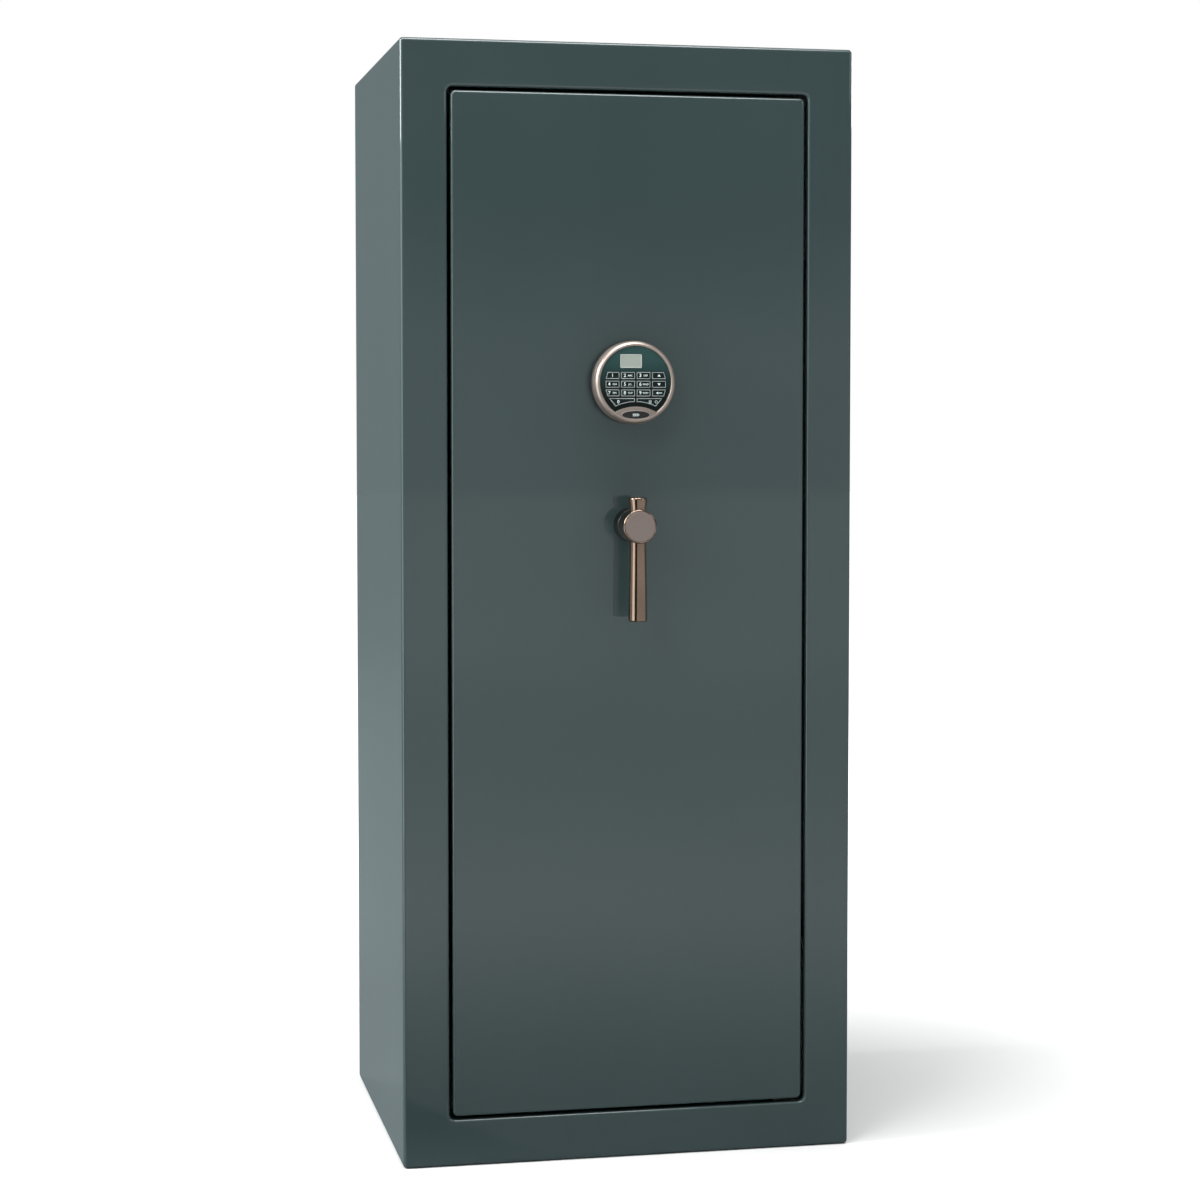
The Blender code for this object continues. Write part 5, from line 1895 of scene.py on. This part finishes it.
@dataclass
class BatteryBadge:
    """The dark oval on the battery cap with a plain battery mark."""

    drop: float = 0.0433
    half_x: float = 0.0194
    half_z: float = 0.0060
    rim: float = 0.0008
    oval_steps: int = 47
    oval_end: float = 352.5
    seat: float = 0.0002
    rim_rise: float = 0.0004
    plate_rise: float = 0.00028
    mark_rise: float = 0.00036
    mark_thick: float = 0.0001
    case_left: float = -0.0042
    case_right: float = 0.0036
    case_half: float = 0.0017
    case_round: float = 0.0006
    case_line: float = 0.0004
    knob_left: float = 0.0037
    knob_right: float = 0.0046
    knob_half: float = 0.0007
    bars: int = 3
    bar_left: float = -0.0034
    bar_pitch: float = 0.0022
    bar_wide: float = 0.0015
    bar_half: float = 0.0009

    def build(self, front_y: float, keypad_z: float) -> None:
        """Build and dress the badge.

        Args:
            front_y: The cap's front.
            keypad_z: The height of the keypad's middle.
        """
        middle = keypad_z - self.drop
        y = front_y + HAIR
        outer = arc((0.0, middle), (self.half_x, self.half_z), 0, self.oval_end, self.oval_steps)
        inside = (self.half_x - self.rim, self.half_z - self.rim)
        inner = arc((0.0, middle), inside, 0, self.oval_end, self.oval_steps)
        edge = band("badge_rim", outer, inner, y - self.rim_rise, y + self.seat)
        present(edge, "battery_cap", PEWTER_BRIGHT)
        plate = prism("badge_plate", inner, y - self.plate_rise, y + self.seat, "y")
        present(plate, "battery_cap", BLACK_PLASTIC)
        front = y - self.mark_rise
        back = front + self.mark_thick
        case = oblong((self.case_left, middle - self.case_half), (self.case_right, middle + self.case_half))
        loop = eased(case, self.case_round)
        mark = [band("mark", loop, inset(loop, self.case_line), front, back)]
        knob = oblong((self.knob_left, middle - self.knob_half), (self.knob_right, middle + self.knob_half))
        mark.append(prism("knob", knob, front, back, "y"))
        for index in range(self.bars):
            left = self.bar_left + index * self.bar_pitch
            bar = oblong((left, middle - self.bar_half), (left + self.bar_wide, middle + self.bar_half))
            mark.append(prism("charge", bar, front, back, "y"))
        present(merged("badge_battery_mark", mark), "battery_cap", KEY_INK)


@dataclass
class KeyMarks:
    """The raised marks on the keys, each measured from the middle of its key."""

    ink: float = 0.00008
    arrow_half: float = 0.0022
    arrow_foot: float = 0.0013
    arrow_tip: float = 0.0019
    head_tip: float = 0.0042
    head_back: float = 0.0012
    head_half: float = 0.0018
    tail_start: float = 0.0011
    tail_end: float = 0.0040
    tail_half: float = 0.0005
    bars: int = 3
    bar_left: float = 0.0062
    bar_right: float = 0.0022
    bar_low: float = 0.0017
    bar_pitch: float = 0.0014
    bar_thick: float = 0.0006
    ring_aside: float = 0.0040
    ring_outer: float = 0.0019
    ring_inner: float = 0.0014
    ring_steps: int = 23
    ring_end: float = 345.0
    digit_size: float = 0.0062
    digit_weight: float = 0.00016
    digit_aside: float = 0.0044
    letter_size: float = 0.0034
    letter_weight: float = 0.00007
    letter_aside: float = 0.0028
    letter_drop: float = 0.0002

    def arrow(self, side: int, x: float, z: float) -> Profile:
        """A solid arrow head.

        Args:
            side: One for up, minus one for down.
            x: The key's middle.
            z: The key's middle.

        Returns:
            Its outline.
        """
        foot = z - self.arrow_foot * side
        shape = [(x - self.arrow_half, foot), (x + self.arrow_half, foot), (x, z + self.arrow_tip * side)]
        return shape if side > 0 else shape[::-1]

    def back_arrow(self, x: float, z: float) -> List[Profile]:
        """The head and the tail of an arrow that points left.

        Args:
            x: The key's middle.
            z: The key's middle.

        Returns:
            The two outlines.
        """
        back = x - self.head_back
        head = [(x - self.head_tip, z), (back, z - self.head_half), (back, z + self.head_half)]
        tail = oblong((x - self.tail_start, z - self.tail_half), (x + self.tail_end, z + self.tail_half))
        return [head, tail]

    def enter_bars(self, x: float, z: float) -> List[Profile]:
        """The three short lines of the enter sign.

        Args:
            x: The key's middle.
            z: The key's middle.

        Returns:
            Their outlines.
        """
        shapes = []
        for index in range(self.bars):
            low = z - self.bar_low + index * self.bar_pitch
            shapes.append(oblong((x - self.bar_left, low), (x - self.bar_right, low + self.bar_thick)))
        return shapes

    def pieces(self, key: str, x: float, z: float, y: float) -> List[bpy.types.Object]:
        """The mark on one key: a digit with telephone letters, an arrow, or a plain sign.

        Args:
            key: The key's short name.
            x: The key's middle.
            z: The key's middle.
            y: The key's front.

        Returns:
            The pieces of the mark.
        """
        back = y + self.ink
        front = y - self.ink
        if key in ("up", "down"):
            return [prism("mark", self.arrow(1 if key == "up" else -1, x, z), front, back, "y")]
        if key == "back":
            return [prism("mark", shape, front, back, "y") for shape in self.back_arrow(x, z)]
        if key == "enter":
            made = [prism("mark", shape, front, back, "y") for shape in self.enter_bars(x, z)]
            centre = (x + self.ring_aside, z)
            outer = arc(centre, (self.ring_outer, self.ring_outer), 0, self.ring_end, self.ring_steps)
            inner = arc(centre, (self.ring_inner, self.ring_inner), 0, self.ring_end, self.ring_steps)
            return made + [band("mark", outer, inner, front, back)]
        letters = KEY_LEGENDS[key]
        place = (x - (self.digit_aside if letters else 0.0), y, z)
        marks = [lettering("mark", key, self.digit_size, place, self.ink * 2, self.digit_weight)]
        if letters:
            place = (x + self.letter_aside, y, z - self.letter_drop)
            weight = self.letter_weight
            marks.append(lettering("mark", letters, self.letter_size, place, self.ink * 2, weight))
        return marks


@dataclass
class RoundKeypad:
    """The round keypad: housing, sliding cap, face, display, keys and badge."""

    wall: float = 0.003
    cap_wall: float = 0.0025
    standoff: float = 0.0022
    base_reach: float = 0.0125
    ring_wide: float = 0.0058
    ring_deep: float = 0.0090
    groove: float = 0.0005
    face_radius: float = 0.0484
    recess: float = 0.0035
    web: float = 0.0025
    arc_radius: float = 0.0593
    arc_top: float = -0.0325
    line: float = 0.00042
    line_inset: float = 0.00045
    crest_step: float = 0.0006
    cap_crest_step: float = 0.0008
    rim_inside: float = 0.0012
    foot_proud: float = 0.0002
    frame_round: float = 0.0018
    frame_wide: float = 0.0013
    glass_round: float = 0.0010
    frame_rise: float = 0.0001
    key_round: float = 0.0016
    key_ease: float = 0.0002
    low_key_aside: float = 0.0050
    low_key_drop: float = 0.0050

    def __post_init__(self) -> None:
        """Read the keypad's centre and size from the frame."""
        low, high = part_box("keypad_housing")
        self.radius = (high.x - low.x) / 2
        self.centre_z = high.z - self.radius
        self.door_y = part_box("door_plate")[0].y
        self.front_y = low.y
        self.reach = self.door_y - self.front_y
        self.marks = KeyMarks()

    def rim(self) -> Profile:
        """The outside of the ring, from the door end over the groove to the crest.

        Returns:
            (radius, along) points.
        """
        crest = -self.reach
        shoulder = crest + self.ring_deep
        points = [(self.radius - self.groove, -self.standoff), (self.radius, -self.standoff - self.groove)]
        points += [(self.radius, shoulder + self.groove * 3)]
        points += [(self.radius - self.groove, shoulder + self.groove * 2.2)]
        points += [(self.radius - self.groove, shoulder + self.groove * 1.2), (self.radius, shoulder)]
        ring = arc((self.radius - self.ring_wide, shoulder), (self.ring_wide, -self.ring_deep), 0, 90, 14)
        return points + ring[1:]

    def boundary(self, grow: float) -> bpy.types.Object:
        """The round parting line between housing and cap, as a thick disc.

        Args:
            grow: How much larger than the parting line it is.

        Returns:
            The cutter.
        """
        centre = (0, self.door_y, self.centre_z + self.arc_top - self.arc_radius)
        radius = self.arc_radius + grow
        front = -self.reach * 2
        profile = [(0.0, front), (radius, front), (radius, self.reach), (0.0, self.reach)]
        return lathe("boundary", profile, centre, "y", ROUND_STEPS * 2)

    def housing(self) -> None:
        """The housing: rounded ring, recess for the face, hollow behind, open below."""
        inner = self.radius - self.wall
        floor = -self.reach + self.recess
        crest = self.radius - self.ring_wide
        profile = self.rim()
        back = floor + self.web
        profile.append((crest - self.crest_step, -self.reach + HAIR))
        profile += [(self.face_radius, -self.reach + self.rim_inside), (self.face_radius, floor)]
        profile += [(0.0, floor), (0.0, back), (inner, back), (inner, -self.standoff)]
        turn = profile.index((0.0, back))
        ordered = profile[turn:] + profile[:turn]
        made = lathe("keypad_ring", ordered, (0, self.door_y, self.centre_z), "y", ROUND_STEPS)
        carve(made, self.boundary(HAIR), "DIFFERENCE")
        present(made, "door", PEWTER, "keypad_housing")

    def cap(self) -> None:
        """The sliding battery cap that fills the foot of the ring."""
        inner = self.radius - self.cap_wall
        crest = self.radius - self.ring_wide
        front = -self.reach + HAIR
        profile = [(0.0, -self.reach + self.cap_wall), (inner, -self.reach + self.ring_deep * 0.6)]
        profile.append((inner, -self.standoff))
        profile += self.rim() + [(crest - self.cap_crest_step, front), (0.0, front)]
        made = lathe("cap_segment", profile, (0, self.door_y, self.centre_z), "y", ROUND_STEPS)
        carve(made, self.boundary(0.0), "INTERSECT")
        present(made, "battery_cap", PEWTER, "battery_cap")

    def base_ring(self) -> None:
        """The dark foot that the keypad stands on, parted where the cap slides away."""
        inner = self.radius - self.wall
        outer = self.radius + self.foot_proud
        under = self.radius - self.foot_proud
        profile = [(inner, -HAIR), (outer, -HAIR), (outer, -self.base_reach), (under, -self.base_reach)]
        profile += [(under, -self.standoff + HAIR), (inner, -self.standoff + HAIR)]
        centre = (0, self.door_y, self.centre_z)
        upper = carve(lathe("keypad_foot", profile, centre, "y"), self.boundary(HAIR), "DIFFERENCE")
        present(upper, "door", BLACK_PLASTIC)
        lower = carve(lathe("cap_foot", profile, centre, "y"), self.boundary(0.0), "INTERSECT")
        present(lower, "battery_cap", BLACK_PLASTIC)

    def display(self) -> None:
        """The display window with its pale frame."""
        low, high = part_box("lcd_window")
        corners = oblong((low.x, low.z), (high.x, high.z))
        outer = eased(corners, self.frame_round)
        inner = eased(inset(corners, self.frame_wide), self.glass_round)
        surround = band("display_surround", outer, inner, low.y - self.frame_rise, high.y)
        present(surround, "door", LCD_FRAME)
        glass = prism("display_glass", inner, low.y + self.frame_rise, high.y, "y")
        present(glass, "door", LCD_GREY, "lcd_window")

    def outline(self, node: str) -> Tuple[Profile, float, float]:
        """Read a key's shape from its solid.

        Args:
            node: The key.

        Returns:
            The outline of its front, and its front and back depths.
        """
        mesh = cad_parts[node].data
        front = min(vertex.co.y for vertex in mesh.vertices)
        back = max(vertex.co.y for vertex in mesh.vertices)
        points = {(round(v.co.x, 6), round(v.co.z, 6)) for v in mesh.vertices if v.co.y - front < HAIR}
        middle_x = sum(x for x, _ in points) / len(points)
        middle_z = sum(z for _, z in points) / len(points)
        ordered = sorted(points, key=lambda p: math.atan2(p[1] - middle_z, p[0] - middle_x))
        return ordered, front, back

    def key(self, key: str) -> None:
        """One key with its eased top, outline and mark, all on the key's own body.

        Args:
            key: The key's short name.
        """
        node = f"key_{key}"
        shape, front, back = self.outline(node)
        marks = self.marks
        rounded = eased(shape, self.key_round)
        top = prism(node + "_cap", rounded, front, back, "y", self.key_ease)
        present(top, node, KEY_RUBBER, node)
        outer = inset(rounded, self.line_inset)
        inner = inset(rounded, self.line_inset + self.line)
        pieces = [band("outline", outer, inner, front - marks.ink, front + marks.ink)]
        low_x, high_x = min(x for x, _ in shape), max(x for x, _ in shape)
        low_z, high_z = min(z for _, z in shape), max(z for _, z in shape)
        x = (low_x + high_x) / 2
        z = (low_z + high_z) / 2
        if key in ("0", "enter"):
            x += self.low_key_aside if key == "enter" else -self.low_key_aside
            z = high_z - self.low_key_drop
        pieces += marks.pieces(key, x, z, front)
        present(merged(node + "_legend", pieces), node, KEY_INK)

    def build(self) -> None:
        """Build and dress the keypad."""
        self.base_ring()
        self.housing()
        self.cap()
        BatteryBadge().build(self.front_y, self.centre_z)
        dress_node("keypad_face", KEYPAD_FACE)
        dress_node("battery", BATTERY_CASE, 0.0012)
        self.display()
        for key in (*KEY_LEGENDS, "up", "down", "back", "enter"):
            self.key(key)


def main() -> None:
    """Build every sub-assembly in order."""
    logging.basicConfig(level=logging.INFO, format="%(name)s: %(message)s")
    Studio().build()
    parts = (SafeBody, LinedInterior, SafeDoor, InternalHinges, Boltwork, LeverHandle, RoundKeypad)
    for part in parts:
        LOG.info("building %s", part.__name__)
        part().build()
    bpy.context.view_layer.update()


if __name__ == "__main__":
    main()
